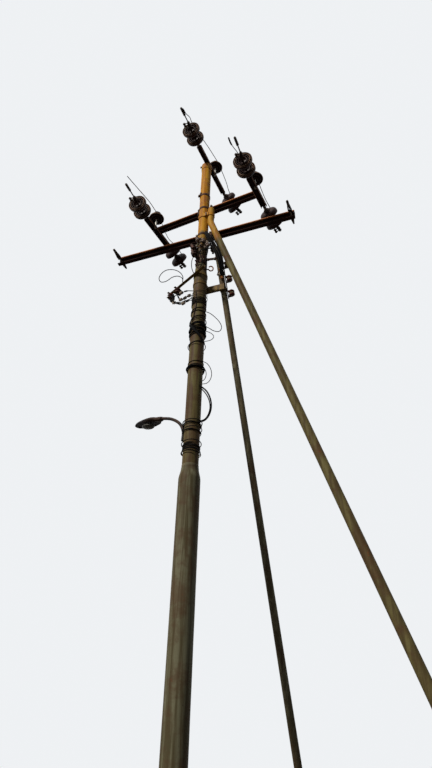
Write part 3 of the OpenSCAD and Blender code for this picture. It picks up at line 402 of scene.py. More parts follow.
class Shape:
    """Points and faces in millimetres, put together from simple builders; tone picks a face's material."""

    def __init__(self):
        self.points = []
        self.faces = []
        self.tones = []
        self.tone = 0

    @contextmanager
    def toned(self, tone):
        """Faces that are added meanwhile take this tone."""
        before, self.tone = self.tone, tone
        yield
        self.tone = before

    def add(self, points, faces, place=Matrix(), tones=None):
        base = len(self.points)
        self.points += [place @ Vector(p) for p in points]
        self.faces += [[base + i for i in face] for face in faces]
        self.tones += tones or [self.tone] * len(faces)
        return self

    def lathe(self, profile, place=Matrix(), steps=48, wobble=0.0, tone_of=None):
        """A solid of revolution about Z; profile is a closed outline of (radius, z)."""
        points, rings = [], []
        for r, z in profile:
            first = len(points)
            if r < 1e-6:
                rings.append([first] * steps)
                points.append((0.0, 0.0, z))
                continue
            rings.append(list(range(first, first + steps)))
            for a in angles(steps):
                swell = 1.0
                if wobble:
                    swell += wobble * noise.noise(Vector((math.cos(a) * 1.7, math.sin(a) * 1.7, z * 0.004)))
                points.append((r * swell * math.cos(a), r * swell * math.sin(a), z))
        faces, tones = [], []
        for i, low in enumerate(rings):
            after = (i + 1) % len(rings)
            high = rings[after]
            tone = tone_of(profile[i], profile[after]) if tone_of else self.tone
            for k in range(steps):
                n = (k + 1) % steps
                face = list(dict.fromkeys((low[k], low[n], high[n], high[k])))
                if len(face) > 2:
                    faces.append(face)
                    tones.append(tone)
        return self.add(points, faces, place, tones)

    def loft(self, rings, place=Matrix(), tones=None, closed=False):
        """Walls through rings of as many points each; tones is the tone of each wall round the outline."""
        count = len(rings[0])
        points = [p for ring in rings for p in ring]
        faces, kinds = [], []
        for i in range(len(rings) if closed else len(rings) - 1):
            j = (i + 1) % len(rings)
            for k in range(count):
                n = (k + 1) % count
                faces.append([i * count + k, i * count + n, j * count + n, j * count + k])
                kinds.append(tones[k] if tones else self.tone)
        if not closed:
            faces += [list(range(count))[::-1], [(len(rings) - 1) * count + k for k in range(count)]]
            kinds += [self.tone, self.tone]
        return self.add(points, faces, place, kinds)

    def tube(self, path, radius, sides=8, place=Matrix(), closed=False, swell=None):
        """A round wire along a path; swell(i) scales the radius at point i."""
        path = [Vector(p) for p in path]
        normal = None
        rings = []
        for i, (at, ahead) in enumerate(zip(path, headings(path, closed))):
            if normal is None:
                start = Vector((0, 0, 1)) if abs(ahead.z) < 0.9 else Vector((1, 0, 0))
                normal = ahead.cross(start).normalized()
            else:
                normal = (normal - ahead * normal.dot(ahead)).normalized()
            other = ahead.cross(normal)
            r = radius * (swell(i) if swell else 1.0)
            rings.append([at + r * (normal * math.cos(a) + other * math.sin(a)) for a in angles(sides)])
        return self.loft(rings, place, closed=closed)

    def strip(self, path, low, high, thick, place=Matrix(), closed=False, edge=1.2):
        """Flat bar on edge along a path in the XY plane, from z = low to z = high, path down its middle."""
        path = [Vector((p[0], p[1], 0)) for p in path]
        rings = []
        for at, ahead in zip(path, headings(path, closed)):
            out = Vector((ahead.y, -ahead.x, 0)) * (thick / 2)
            soft = out * (1 - edge / (thick / 2))
            rings.append([at + side + Vector((0, 0, z)) for side, z in (
                (-soft, low), (soft, low), (out, low + edge), (out, high - edge),
                (soft, high), (-soft, high), (-out, high - edge), (-out, low + edge))])
        return self.loft(rings, place, closed=closed)

    def prism(self, outline, low, high, place=Matrix(), edge=0.0):
        """The outline, in the XY plane, from z = low to z = high, with its end edges cut back by edge."""
        count = len(outline)
        centre = Vector((sum(p[0] for p in outline) / count, sum(p[1] for p in outline) / count, 0))
        levels = [(low, False), (high, False)]
        if edge:
            levels = [(low, True), (low + edge, False), (high - edge, False), (high, True)]
        rings = []
        for z, small in levels:
            level = []
            for x, y in outline:
                p = Vector((x, y, 0))
                if small:
                    away = p - centre
                    p -= away * min(edge / max(away.length, 1e-6), 0.4)
                level.append((p.x, p.y, z))
            rings.append(level)
        return self.loft(rings, place)

    def block(self, low, high, place=Matrix(), edge=1.0):
        """A box with its upright corners and end edges cut by edge."""
        (x0, y0, z0), (x1, y1, z1) = low, high
        e = min(edge, (x1 - x0) / 3, (y1 - y0) / 3, (z1 - z0) / 3)
        outline = [(x0 + e, y0), (x1 - e, y0), (x1, y0 + e), (x1, y1 - e),
                   (x1 - e, y1), (x0 + e, y1), (x0, y1 - e), (x0, y0 + e)]
        return self.prism(outline, z0, z1, place, e)

    def hex(self, across, height, place=Matrix()):
        """Hexagon head or nut from z = 0, with its chamfer on top."""
        r = across / math.sqrt(3)
        corners = [(r * math.cos(math.radians(60 * k)), r * math.sin(math.radians(60 * k))) for k in range(6)]
        levels = ((1.0, 0), (1.0, height * 0.82), (0.88, height))
        return self.loft([[(x * share, y * share, z) for x, y in corners] for share, z in levels], place)

    def disc(self, radius, low, high, place=Matrix(), steps=24, edge=0.6):
        profile = [(0, low), (radius - edge, low), (radius, low + edge),
                   (radius, high - edge), (radius - edge, high), (0, high)]
        return self.lathe(profile, place, steps)

    def bolt(self, d, length, place=Matrix(), tail=10.0):
        """A bolt along +Z: head and washer below z = 0, washer, nut and threaded tail above z = length."""
        self.disc(d * 1.05, -2.5, 0, place)
        self.hex(d * 1.6, d * 0.65, place @ shift(z=-2.5) @ turn(180, "X"))
        self.disc(d / 2, -2, length + d * 0.8, place)
        end = length + d + tail
        thread = [(0, length)]
        for k in range(15):
            thread.append((d / 2 * (0.9 if k % 2 else 1.0), length + (end - length) * k / 14))
        self.lathe(thread + [(0, end)], place, 16)
        self.disc(d * 1.05, length, length + 2.5, place)
        return self.hex(d * 1.6, d * 0.8, place @ shift(z=length + 2.5) @ turn(17, "Z"))

    def stud(self, r, half, across, height, nut_at, place):
        """A pin to both sides of the place, with a nut on each end."""
        self.disc(r, -half, half, place)
        self.hex(across, height, place @ shift(z=nut_at))
        return self.hex(across, height, place @ shift(z=-nut_at) @ turn(180, "X"))


def make(name, shape, materials, slot, *replaced):
    """Makes the piece, in metres, on the root body."""
    mesh = bpy.data.meshes.new(name)
    mesh.from_pydata([tuple(p * MM) for p in shape.points], [], shape.faces)
    for material in materials:
        mesh.materials.append(material)
    mesh.polygons.foreach_set("material_index", shape.tones)
    mesh.validate()
    work = bmesh.new()
    work.from_mesh(mesh)
    bmesh.ops.recalc_face_normals(work, faces=work.faces)
    work.to_mesh(mesh)
    work.free()
    mesh.polygons.foreach_set("use_smooth", [True] * len(mesh.polygons))
    mesh.set_sharp_from_angle(angle=SHARP)
    piece = bpy.data.objects.new(name, mesh)
    bpy.context.scene.collection.objects.link(piece)
    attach(piece, "root")
    if replaced:
        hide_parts(*replaced)
    return piece


# sizes shared by the pieces

LOWER_R, MIDDLE_R, UPPER_R = 219.1 / 2, 168.3 / 2, 139.7 / 2
LOWER_TOP, MIDDLE_TOP, POLE_TOP = 4095.0, 6920.0, 9144.0
SHOULDER, WALL, SEAT = 130.0, 5.0, 0.3
STRAP_T, BAND_H = 6.0, 34.0

# free cables: each is a slack loop that comes out of the pole's fittings and goes back in


def free_cord(name, points, radius):
    """A slack loop through the points."""
    path = smooth_path(points, 4)
    piece = make(name, Shape().tube(path, radius, 10), [CABLE], "black_cable")


# radius and course of each slack loop at the pole's right
RIGHT_LOOPS = {
    "high_slack_loop": (4.5, [
        (84, -36, 6151), (146, -8, 6128), (204, 14, 6070), (256, 34, 5998), (284, 46, 5916), (262, 38, 5850),
        (206, 16, 5850), (148, -8, 5890), (84, -36, 5929)]),
    "short_slack_loop": (4.0, [
        (84, -32, 5850), (132, -14, 5836), (186, 8, 5800), (200, 14, 5752), (160, -4, 5704),
        (84, -36, 5680)]),
    "inner_slack_loop": (4.0, [
        (84, -38, 5322), (126, -26, 5282), (141, -21, 5210), (124, -28, 5142), (82, -42, 5108)]),
    "middle_slack_loop": (4.0, [
        (82, -40, 5400), (146, -20, 5362), (188, -2, 5280), (194, 0, 5180), (156, -14, 5100),
        (82, -40, 5080)]),
    "low_slack_loop": (8.5, [
        (80, -42, 5062), (152, -16, 4990), (194, 0, 4886), (204, 4, 4784), (184, -5, 4684), (144, -20, 4622),
        (82, -42, 4596)]),
    "low_slack_loop_partner": (6.0, [
        (84, -28, 5040), (138, -4, 4970), (176, 10, 4880), (186, 14, 4784), (168, 6, 4694), (134, -8, 4640),
        (84, -28, 4618)]),
}
for name, (radius, points) in RIGHT_LOOPS.items():
    free_cord(name, points, radius)

# pole tubes


def swaged_profile(r, next_r, base, top):
    """Outline of a tube with its swaged shoulder, with points along its length for the waviness."""
    lip = next_r + WALL
    profile = [(0.0, base), (r, base)]
    count = int((top - SHOULDER - base) / 120)
    profile += [(r, base + (top - SHOULDER - base) * k / count) for k in range(1, count)]
    for k in range(17):
        u = k / 16
        profile.append((lip + (r - lip) * (1 + math.cos(math.pi * u)) / 2, top - SHOULDER * (1 - u)))
    return profile + [(next_r, top), (0.0, top)]


def make_pole():
    lower = Shape().lathe(swaged_profile(LOWER_R, MIDDLE_R, 0, LOWER_TOP), steps=96, wobble=0.006)
    make("pole_lower_tube", lower, [POLE_LOWER], "weathered_pole", "pole_lower")
    middle = Shape().lathe(swaged_profile(MIDDLE_R, UPPER_R, LOWER_TOP, MIDDLE_TOP), steps=96, wobble=0.004)
    make("pole_middle_tube", middle, [POLE_MIDDLE], "weathered_pole", "pole_middle")
    rise = POLE_TOP - MIDDLE_TOP
    side = [(UPPER_R, MIDDLE_TOP + rise * k / 20) for k in range(21)]
    upper = Shape().lathe([(0.0, MIDDLE_TOP)] + side + [(0.0, POLE_TOP)], steps=96, wobble=0.003)
    make("pole_upper_tube", upper, [OCHRE], "ochre_paint", "pole_upper")
    r = MIDDLE_R + SEAT
    band = rounded([(r, 0), (r + 2, 0), (r + 2, 28), (r, 28)], 0.15, 2)
    make("pale_band_ring", Shape().lathe(band, shift(z=LOWER_TOP + 2), 96), [PALE], "pale_band", "pale_band")


LUG_REACH, LUG_GAP = 34.0, 7.0


def clamp_ring(shape, r, low, high, place):
    """Split clamp band round a tube of radius r, with its two lugs and their bolt towards -Y."""
    middle = r + SEAT + STRAP_T / 2
    side = (LUG_GAP + STRAP_T) / 2
    half = math.degrees(math.asin(side / middle))
    end, root = -r - LUG_REACH + 2, -r - LUG_REACH / 2
    path = [(side, end), (side, root)] + arc(middle, -90 + half, 360 - 2 * half, 60)
    shape.strip(path + [(-side, root), (-side, end)], low, high, STRAP_T, place)
    centre = place @ shift(-side - STRAP_T / 2, -r - LUG_REACH + 13, (low + high) / 2) @ turn(90, "Y")
    with shape.toned(WORN):
        shape.bolt(11, LUG_GAP + 2 * STRAP_T, centre, tail=2)


DARK_BAND_Z = 8395.0


def make_dark_band():
    band = Shape()
    clamp_ring(band, UPPER_R, -BAND_H / 2, BAND_H / 2, shift(z=DARK_BAND_Z) @ turn(-50, "Z"))
    clip = shift(z=DARK_BAND_Z) @ turn(-34, "Z")
    band.block((-15, -UPPER_R - 14, 12), (15, -UPPER_R - 1, 58), clip, 3)
    band.block((-34, -UPPER_R - 10, 34), (-12, -UPPER_R, 48), clip, 3)
    make("dark_clamp_band", band, [STRAP, IRON_WORN], "dark_iron", "dark_band")


def make_top_cap():
    skirt, plate = 110.0, 8.0
    r = UPPER_R + SEAT
    cap = Shape()
    edge = [(r, -skirt), (r + 5, -skirt), (r + 5, plate + SEAT), (0, plate + SEAT)]
    outline = edge[:1] + rounded(edge, 0.06, 2, closed=False)[1:] + [(0, SEAT), (r, SEAT)]
    cap.lathe(outline, shift(z=POLE_TOP), 72)
    place = shift(z=POLE_TOP - skirt / 2) @ turn(218, "Z") @ shift(r + 3) @ turn(90, "Y")
    with cap.toned(WORN):
        cap.disc(12, 0, 3, place)
        cap.disc(8, 0, 24, place)
        cap.hex(27, 12, place @ shift(z=10))
    make("pole_top_cap", cap, [OCHRE, IRON_WORN], "ochre_paint", "top_cap")


make_pole()
make_dark_band()
make_top_cap()

# strut tubes and what holds them

RIGHT_FOOT, BACK_FOOT = Vector((2585, -150, 0)), Vector((745, 1820, 0))
RIGHT_STRUT_R, BACK_STRUT_R = 88.9 / 2, 76.1 / 2
KNEE_Z, RIGHT_HEAD_Z, RIGHT_CLAMP_Z, HEAD_TURN = 7790.0, 8065.0, 7925.0, -10.0
HEAD_OUT = UPPER_R + RIGHT_STRUT_R + 0.8 + SEAT
HEAD_XY = polar(HEAD_OUT, HEAD_TURN)
BRACKET_Z, PLATE_Z, BACK_HEAD_Z, FLANGE = 6625.0, 7100.0, 7255.0, 31.0
BRACKET_Y = MIDDLE_R + SEAT
BACK_PASS = Vector((258, BRACKET_Y + FLANGE + BACK_STRUT_R + 4, BRACKET_Z))


def along(p, q, z):
    """Point at height z on the line through p and q."""
    return p + (q - p) * ((z - p.z) / (q.z - p.z))


def tube_rings(start, end, r, count, sides=64):
    """Level-ended, slightly wavy rings of a leaning tube."""
    ahead = (end - start).normalized()
    across = Vector((0, 1, 0)).cross(ahead).normalized()
    other = ahead.cross(across)
    rings = []
    for i in range(count + 1):
        at = start + (end - start) * (i / count)
        section = []
        for a in angles(sides):
            swell = 1 + 0.006 * noise.noise(Vector((math.cos(a), math.sin(a), at.z * 0.002)))
            p = at + r * swell * (across * math.cos(a) + other * math.sin(a))
            if i in (0, count) and abs(ahead.z) < 0.9999:
                p += ahead * ((at.z - p.z) / ahead.z)
            section.append(p)
        rings.append(section)
    return rings


def make_struts():
    knee = Vector((HEAD_XY.x, HEAD_XY.y, KNEE_Z))
    head = Vector((HEAD_XY.x, HEAD_XY.y, RIGHT_HEAD_Z))
    leaning = tube_rings(RIGHT_FOOT, knee, RIGHT_STRUT_R, 90)
    ahead = (knee - RIGHT_FOOT).normalized()
    # the last two rings are cut square, a little below the knee, whose ball covers them
    for section, back in ((leaning[-1], 6), (leaning[-2], 12)):
        for k, p in enumerate(section):
            section[k] = p - ahead * max(0.0, (p - knee).dot(ahead) + back)
    strut = Shape().loft(leaning).loft(tube_rings(knee, head - Vector((0, 0, 2)), RIGHT_STRUT_R, 6))
    r = RIGHT_STRUT_R
    tilts = [math.radians(a) for a in range(-90, 91, 6)]
    strut.lathe([((r + 0.8) * math.cos(a), (r + 0.8) * math.sin(a)) for a in tilts], shift(*knee), 64)
    bead = rounded([(r - 2, -5), (r + 1, -4), (r + 1, 4), (r - 2, 5)])
    strut.lathe(bead, aimed(knee, knee + Vector((0, 0, 1)) + ahead), 64)
    strut.lathe([(r - 5, -3), (r - 0.2, -3), (r - 0.8, 0), (r - 5, 0)], shift(*head), 64)
    make("right_strut_tube", strut, [RIGHT_STRUT], "strut_steel", "right_strut")
    back = Shape().loft(tube_rings(BACK_FOOT, along(BACK_FOOT, BACK_PASS, BACK_HEAD_Z), BACK_STRUT_R, 84))
    make("back_strut_tube", back, [BACK_STRUT], "strut_steel", "back_strut")


def saddle_path(r_pole, r_strut):
    """Closed path round the pole and the strut's head, with straight sides between them."""
    lean = math.degrees(math.acos((r_pole - r_strut) / HEAD_OUT))
    round_strut = [HEAD_XY + p for p in arc(r_strut, HEAD_TURN - lean, 2 * lean, 32)]
    return arc(r_pole, HEAD_TURN + lean, 360 - 2 * lean, 48) + round_strut


def make_right_clamp():
    clamp = Shape()
    half_h, waist, inset = 28.0, 58.0, SEAT + 4.0
    path = saddle_path(UPPER_R + inset, RIGHT_STRUT_R + inset)
    clamp.strip(path, RIGHT_CLAMP_Z - half_h, RIGHT_CLAMP_Z + half_h, 7.2, closed=True)
    # waist plates and the bolts through the throat
    middle = polar(UPPER_R + 4, HEAD_TURN)
    for side in (-1, 1):
        place = shift(middle.x, middle.y, RIGHT_CLAMP_Z) @ turn(HEAD_TURN, "Z") @ shift(0, side * waist)
        clamp.block((-26, -5, -half_h), (34, 5, half_h), place, edge=2)
        with clamp.toned(WORN):
            for z in (-15, 15):
                seat = place @ shift(2, side * 5, z) @ turn(-90 * side, "X")
                clamp.disc(11, 0, 2.5, seat)
                clamp.hex(19, 8, seat @ shift(z=2.5))
    make("right_strut_saddle", clamp, [OCHRE, IRON_WORN], "ochre_paint", "right_strut_clamp")


def half_channel(flange, h, web, lip, toe, nose, lip_tone, under_tone):
    """Upper half of a rolled channel's (y, z) outline, each point with a tone, from the web round the lip."""
    return [((flange, h / 2 - 3), OUTSIDE), ((flange - 3, h / 2), OUTSIDE),
            ((3, h / 2), lip_tone), ((0, h / 2 - 2.5), lip_tone),
            ((0, h / 2 - toe + nose), lip_tone), ((3, h / 2 - toe), lip_tone),
            ((9, h / 2 - lip + 1.2), under_tone), ((flange * 0.45, h / 2 - web - 1), under_tone),
            ((flange - web - 7, h / 2 - web - 2), INSIDE), ((flange - web - 2, h / 2 - web - 5), INSIDE),
            ((flange - web, h / 2 - web - 12), INSIDE)]


def channel_outline(flange, h, web, lip, painted_top_highlight=False):
    """Rolled channel open to -Y: its (y, z) points and the tone of the wall from each to the next."""
    top = bottom = half_channel(flange, h, web, lip, lip, 2.5, LIP, INSIDE)
    # Painted highlight on the top lip only: its deeper toe and its underside take the lip's tone, and the
    # bottom lip takes the outside's
    if painted_top_highlight:
        top = half_channel(flange, h, web, lip, 16.0, 2.5, LIP, LIP)
        bottom = half_channel(flange, h, web, lip, lip, 0.0, OUTSIDE, INSIDE)
    outline = top + [((y, -z), tone) for (y, z), tone in reversed(bottom)]
    walls = []
    for (_, tone), (_, following) in zip(outline, outline[1:] + outline[:1]):
        if tone == following == LIP:
            walls.append(LIP)
        else:
            walls.append(OUTSIDE if OUTSIDE in (tone, following) else INSIDE)
    return [p for p, _ in outline], walls


def rolled_channel(shape, length, outline, place, seed, step=28.0):
    """The channel along X, centred, with rust-eaten lips and a slightly uneven surface."""
    points, tones = outline
    count = max(2, int(length / step))
    rings = []
    for i in range(count + 1):
        x = length * (i / count - 0.5)
        section = []
        for k, (y, z) in enumerate(points):
            jitter = noise.noise(Vector((x * 0.02, k * 1.3, seed))) * (0 < i < count)
            eaten = max(0.0, noise.noise(Vector((x * 0.045, seed, k * 0.2))) - 0.2) * 2.2
            section.append((x, y + (eaten if tones[k] == LIP else 0.0) + 0.35 * jitter, z + 0.3 * jitter))
        rings.append(section)
    shape.loft(rings, place, tones)


def strut_ring(shape, z):
    """Split ring round the back strut at height z, with its bolt away from the pole."""
    place = aimed(along(BACK_FOOT, BACK_PASS, z), along(BACK_FOOT, BACK_PASS, z + 10)) @ turn(60, "Z")
    middle = BACK_STRUT_R + SEAT + 4
    path = [(6, -middle - 9)] + arc(middle, -82, 344, 48) + [(-6, -middle - 9)]
    shape.strip(path, -BAND_H / 2, BAND_H / 2, 7, place)
    with shape.toned(WORN):
        shape.bolt(9, 18, place @ shift(-9, -middle - 4, 0) @ turn(90, "Y"), tail=0)


def make_back_bracket():
    bracket = Shape()
    left, right = -120.0, BACK_PASS.x + 30
    outline = channel_outline(FLANGE, 100, 6, 7.5)
    place = shift((left + right) / 2, BRACKET_Y + FLANGE, BRACKET_Z) @ turn(180, "Z")
    rolled_channel(bracket, right - left, outline, place, 3.0)
    r = MIDDLE_R + SEAT + STRAP_T / 2
    ear = MIDDLE_R + SEAT + STRAP_T + 14
    back_y = BRACKET_Y - STRAP_T / 2
    path = [(-ear, back_y), (-r - 1, back_y), (-r - 1, back_y - 26)] + arc(r, 160, 220, 48)
    path += [(r + 1, back_y - 26), (r + 1, back_y), (ear, back_y)]
    bracket.strip(path, BRACKET_Z - BAND_H / 2, BRACKET_Z + BAND_H / 2, STRAP_T)
    with bracket.toned(WORN):
        for side in (-1, 1):
            bracket.bolt(11, 12, shift(side * (ear - 9), back_y - 3, BRACKET_Z) @ turn(-90, "X"), tail=6)
    strut_ring(bracket, BRACKET_Z)
    materials = [BRACKET, IRON_WORN, BRACKET]
    make("back_strut_bracket_iron", bracket, materials, "strut_steel", "back_strut_bracket")


def make_back_plate():
    at_strut = along(BACK_FOOT, BACK_PASS, PLATE_Z)
    plate = Shape()
    r = UPPER_R + SEAT + STRAP_T / 2
    low, high = PLATE_Z - BAND_H / 2, PLATE_Z + BAND_H / 2
    turned = turn(math.degrees(math.atan2(at_strut.y, at_strut.x)), "Z")
    far = math.hypot(at_strut.x, at_strut.y) - BACK_STRUT_R - 3
    for side in (-1, 1):
        plate.strip([(r - 1, side * 3.4), (far, side * 3.4)], low, high, 5, turned)
    plate.strip([(r + 9, 6)] + arc(r, 6, 348, 60) + [(r + 9, -6)], low, high, STRAP_T - 0.5, turned)
    with plate.toned(WORN):
        for x in (r + 16, far - 14):
            plate.bolt(12, 14, turned @ shift(x, -7, PLATE_Z) @ turn(-90, "X"), tail=4)
    strut_ring(plate, PLATE_Z)
    make("back_strut_strap_plate", plate, [STRAP, IRON_WORN], "dark_iron", "back_strut_plate")


make_struts()
make_right_clamp()
make_back_bracket()
make_back_plate()

# crossarms, with their straps and bolts

ARM_FRONT, ARM_H, ARM_FLANGE, ARM_T, ARM_LIP = UPPER_R + SEAT, 120.0, 55.0, 6.0, 9.0
ARM_BACK = ARM_FRONT + ARM_FLANGE
ARM_BOLT_X = UPPER_R + STRAP_T + 22
STRAP_DROP, EAR_Y = 80.0, 18.0
LOWER_ARM_Z = 7635.0
ARMS = {
    "upper": dict(length=1610, shift=-15, place=turn(-5.3, "Z") @ shift(z=8185), seed=1.0),
    "lower": dict(length=2596, shift=-47, place=shift(z=LOWER_ARM_Z), seed=2.0),
}
GUARD_X = {"left": -1300.0, "right": 1206.0}
# Number of the black material painted as shade in the arms' spare bolt holes
HOLE_SHADE = 3


def make_arm(name, arm):
    beam = Shape()
    outline = channel_outline(ARM_FLANGE, ARM_H, ARM_T, ARM_LIP, painted_top_highlight=True)
    place = arm["place"] @ shift(arm["shift"], ARM_FRONT)
    rolled_channel(beam, arm["length"], outline, place, arm["seed"])
    # spare bolt holes in the web, as shallow black discs of painted shade
    with beam.toned(HOLE_SHADE):
        for x in (-0.44, -0.3, 0.27, 0.4):
            seat = place @ shift(x * arm["length"], ARM_FLANGE - ARM_T - 0.4, 8) @ turn(-90, "X")
            beam.disc(9, -0.5, 0.6, seat, steps=20, edge=0.2)
    # Lips take the painted highlight, the inside painted shade, and the spare holes black discs of painted
    # shade
    materials = [CHANNEL, CHANNEL_LIP_HIGHLIGHT, CHANNEL_INSIDE_SHADE, CABLE]
    make(f"{name}_channel", beam, materials, "rusted_channel", f"{name}_crossarm")


def make_arm_clamp(name, arm):
    clamp = Shape()
    place = arm["place"]
    r = UPPER_R + SEAT + STRAP_T / 2
    y = EAR_Y + STRAP_T / 2
    start = math.degrees(math.asin(y / r))
    low = -STRAP_DROP - BAND_H / 2
    ear = ARM_BOLT_X + 18
    path = [(ear - 2, y), (r + 5, y)] + arc(r, start, -(180 + 2 * start), 56) + [(-r - 5, y), (-ear + 2, y)]
    clamp.strip(path, low, low + BAND_H, STRAP_T, place)
    plate = [(r + 4, low), (ear - 10, low), (ear, low + 10), (ear, 4), (ear - 14, 20), (r + 16, 20),
             (r + 4, 2)]
    for side in (-1, 1):
        upright = place @ shift(0, EAR_Y + STRAP_T, 0) @ turn(90, "X")
        clamp.prism([(side * x, z) for x, z in plate], 0, STRAP_T, upright, 1.0)
        with clamp.toned(WORN):
            seat = place @ shift(side * ARM_BOLT_X, EAR_Y) @ turn(-90, "X")
            clamp.bolt(16, ARM_BACK - EAR_Y, seat, tail=-4)
    make(f"{name}_arm_strap", clamp, [STRAP, IRON_WORN], "dark_iron", f"{name}_arm_clamp")


for name, arm in ARMS.items():
    make_arm(name, arm)
for name, arm in ARMS.items():
    make_arm_clamp(name, arm)

# strain members

PHASES = {
    "top": dict(at=(40, 100, 9192.6), length=885, width=70, turns=(-4.4, -0.2, -23.5), pin=(12, 100)),
    "right": dict(at=(787, -49, 8124.7), length=515, width=84, turns=(-6.6, 1.2, -15.5), pin=(8, -70)),
    "left": dict(at=(-790, 130, 8124.7), length=570, width=84, turns=(-8, 2.5, -15), pin=(18, -80)),
}
MEMBER_H, MEMBER_T, LUG_W, LUG_T, LUG_DROP, LINK_OUT = 40.0, 5.0, 40.0, 12.0, 11.3, 24.0


def member_place(phase):
    return shift(*phase["at"]) @ turn(phase["turns"][0], "Z")


def make_member(name, phase):
    member = Shape()
    place = member_place(phase)
    outline = channel_outline(MEMBER_H, phase["width"], MEMBER_T, 7.0)
    lying = place @ shift(z=-MEMBER_H) @ CYCLED
    rolled_channel(member, phase["length"], outline, lying, 5.0 + len(name), 24.0)
    for side in (-1, 1):
        lug = place @ shift(0, side * (phase["length"] / 2 - 30), -LUG_DROP) @ turn(side * 90, "Z")
        nose = [p + Vector((30 + LINK_OUT, 0, 0)) for p in arc(LUG_W / 2, -90, 180, 16)]
        outline = [(-30, LUG_W / 2), (-30, -LUG_W / 2)] + [(p.x, p.y) for p in nose]
        member.prism(outline, -LUG_T / 2, LUG_T / 2, lug, 1.2)
        member.block((-30, -LUG_W / 2, LUG_T / 2 - 1), (20, LUG_W / 2, LUG_T / 2 + 1.3), lug, 0.5)
        # weld bead along the lug's sides
        for edge in (-1, 1):
            bead = []
            for k in range(10):
                sway = 1.5 * noise.noise(Vector((k * 1.7, edge, 3.0)))
                bead.append((-28 + 5 * k, edge * (LUG_W / 2 + sway), LUG_T / 2 - 1))
            member.tube(bead, 3.2, 6, lug)
    make(f"{name}_member_channel", member, [MEMBER, MEMBER_LIP, MEMBER], "rusted_channel", f"{name}_member")


for name, phase in PHASES.items():
    make_member(name, phase)

# strain strings

FIRST_DISC, DISC_PITCH = 98.0, 158.0
SECOND_DISC = FIRST_DISC + DISC_PITCH
CLAMP_SEAT, CLAMP_LEN, GRIP_LEN, GRIP_R = SECOND_DISC + 62, 105.0, 245.0, 17.0
DISC_R, CAP_R, PIN_R, WIRE_R = 127.5, 48.0, 9.0, 5.0
WAYS = (("front", -1), ("back", 1))
DROOP = {-1: 11.0, 1: 12.0}
# Heights in a disc's profile above which, and radii as shares between which, the rims' painted highlight lies
RIM_FROM_Z, RIM_SHARE, RIB_SHARES = 34.5, 0.93, (0.7, 0.86)


def swing_of(phase, direction):
    """Turn of a string about the upright, from its member's line."""
    return phase["turns"][1 if direction < 0 else 2] - phase["turns"][0]


def link_at(phase, direction):
    """Centre of a string's link pin in the member's frame."""
    return Vector((0, direction * (phase["length"] / 2 + LINK_OUT), -LUG_DROP))


def string_place(phase, direction):
    """Frame of a string: the origin is its link pin, and +Z runs outwards along it."""
    return (member_place(phase) @ shift(*link_at(phase, direction)) @ turn(swing_of(phase, direction), "Z")
            @ turn(-direction * (90 + DROOP[direction]), "X"))


def disc_profile():
    r = DISC_R
    outer = [(50, -34), (r * 0.62, -31), (r * 0.8, -25), (r * 0.92, -15), (r * 0.985, -2), (r, 10), (r, 35),
             (r - 5, 38)]
    ribs = [(r - 10, 24), (r * 0.83, 16), (r * 0.83, 37), (r * 0.77, 37), (r * 0.76, 10), (r * 0.66, 7),
            (r * 0.66, 37), (r * 0.6, 37), (r * 0.59, 4), (r * 0.48, 3), (r * 0.47, 36), (r * 0.4, 36),
            (r * 0.36, 8), (17, 6)]
    skin = rounded(outer + ribs, 0.2, 2, closed=False)
    return [(0, -58), (38, -58), (38, -34)] + skin + [(17, -40), (0, -40)]


def rim_tone(a, b):
    """1, the glaze with a painted highlight, on the edges of the rim and of the outer rib, and 0 elsewhere.
    """
    on_rim = a[0] > DISC_R * RIM_SHARE
    on_rib = DISC_R * RIB_SHARES[0] < a[0] < DISC_R * RIB_SHARES[1]
    return 1 if min(a[1], b[1]) > RIM_FROM_Z and (on_rim or on_rib) else 0


CAP_SKIN = [(CAP_R, -34.3), (CAP_R, -40), (CAP_R - 4, -44), (CAP_R - 6, -58), (CAP_R - 14, -68), (22, -72)]
CAP_PROFILE = ([(38.3, -34.3)] + rounded(CAP_SKIN, 0.2, 2, closed=False)
               + [(0, -72), (0, -58.3), (38.3, -58.3)])


def string_iron(iron, direction, place):
    """Caps, pins and clevis of one string."""
    for at, reach in ((FIRST_DISC, DISC_PITCH - 70), (SECOND_DISC, 62)):
        seat = place @ shift(z=at)
        iron.lathe(CAP_PROFILE, seat, 40)
        iron.lathe([(0, -40), (16.7, -40), (16.7, -8), (PIN_R + 2, 1), (PIN_R, 6), (0, 6)], seat, 24)
        iron.disc(PIN_R, -8, reach, seat, edge=1.0)
        ball = [(0, reach - 14), (PIN_R, reach - 14), (15, reach - 8), (14, reach - 1), (0, reach - 1)]
        iron.lathe(rounded(ball, 0.2, 1), seat, 24)
        # cotter through the socket, with its ears bent back
        ears = [(37, 0, -62), (43, 4, -60), (45, 0, -54), (42, -4, -58), (37, 0, -62)]
        with iron.toned(WORN):
            iron.tube([(-34, 0, -62), (38, 0, -62)], 3.0, 8, seat)
            iron.tube(smooth_path(ears, 4), 2.2, 6, seat)
    cheek, cheek_t, foot = 12.0, 7.0, FIRST_DISC - 76
    lower = [math.pi + math.pi * k / 12 for k in range(13)]
    outline = [(15, foot + 10), (-15, foot + 10)] + [(15 * math.cos(a), 15 * math.sin(a)) for a in lower]
    for low in (cheek, -cheek - cheek_t):
        iron.prism(outline, low, low + cheek_t, place @ turn(90, "X"), 1.2)
    iron.block((-15, -cheek - cheek_t, foot), (15, cheek + cheek_t, foot + 10), place, edge=2.0)
    pin = place @ turn(direction * (90 + DROOP[direction]), "X")
    with iron.toned(WORN):
        iron.bolt(16, 2 * (cheek + cheek_t), pin @ shift(z=-cheek - cheek_t), tail=-6)


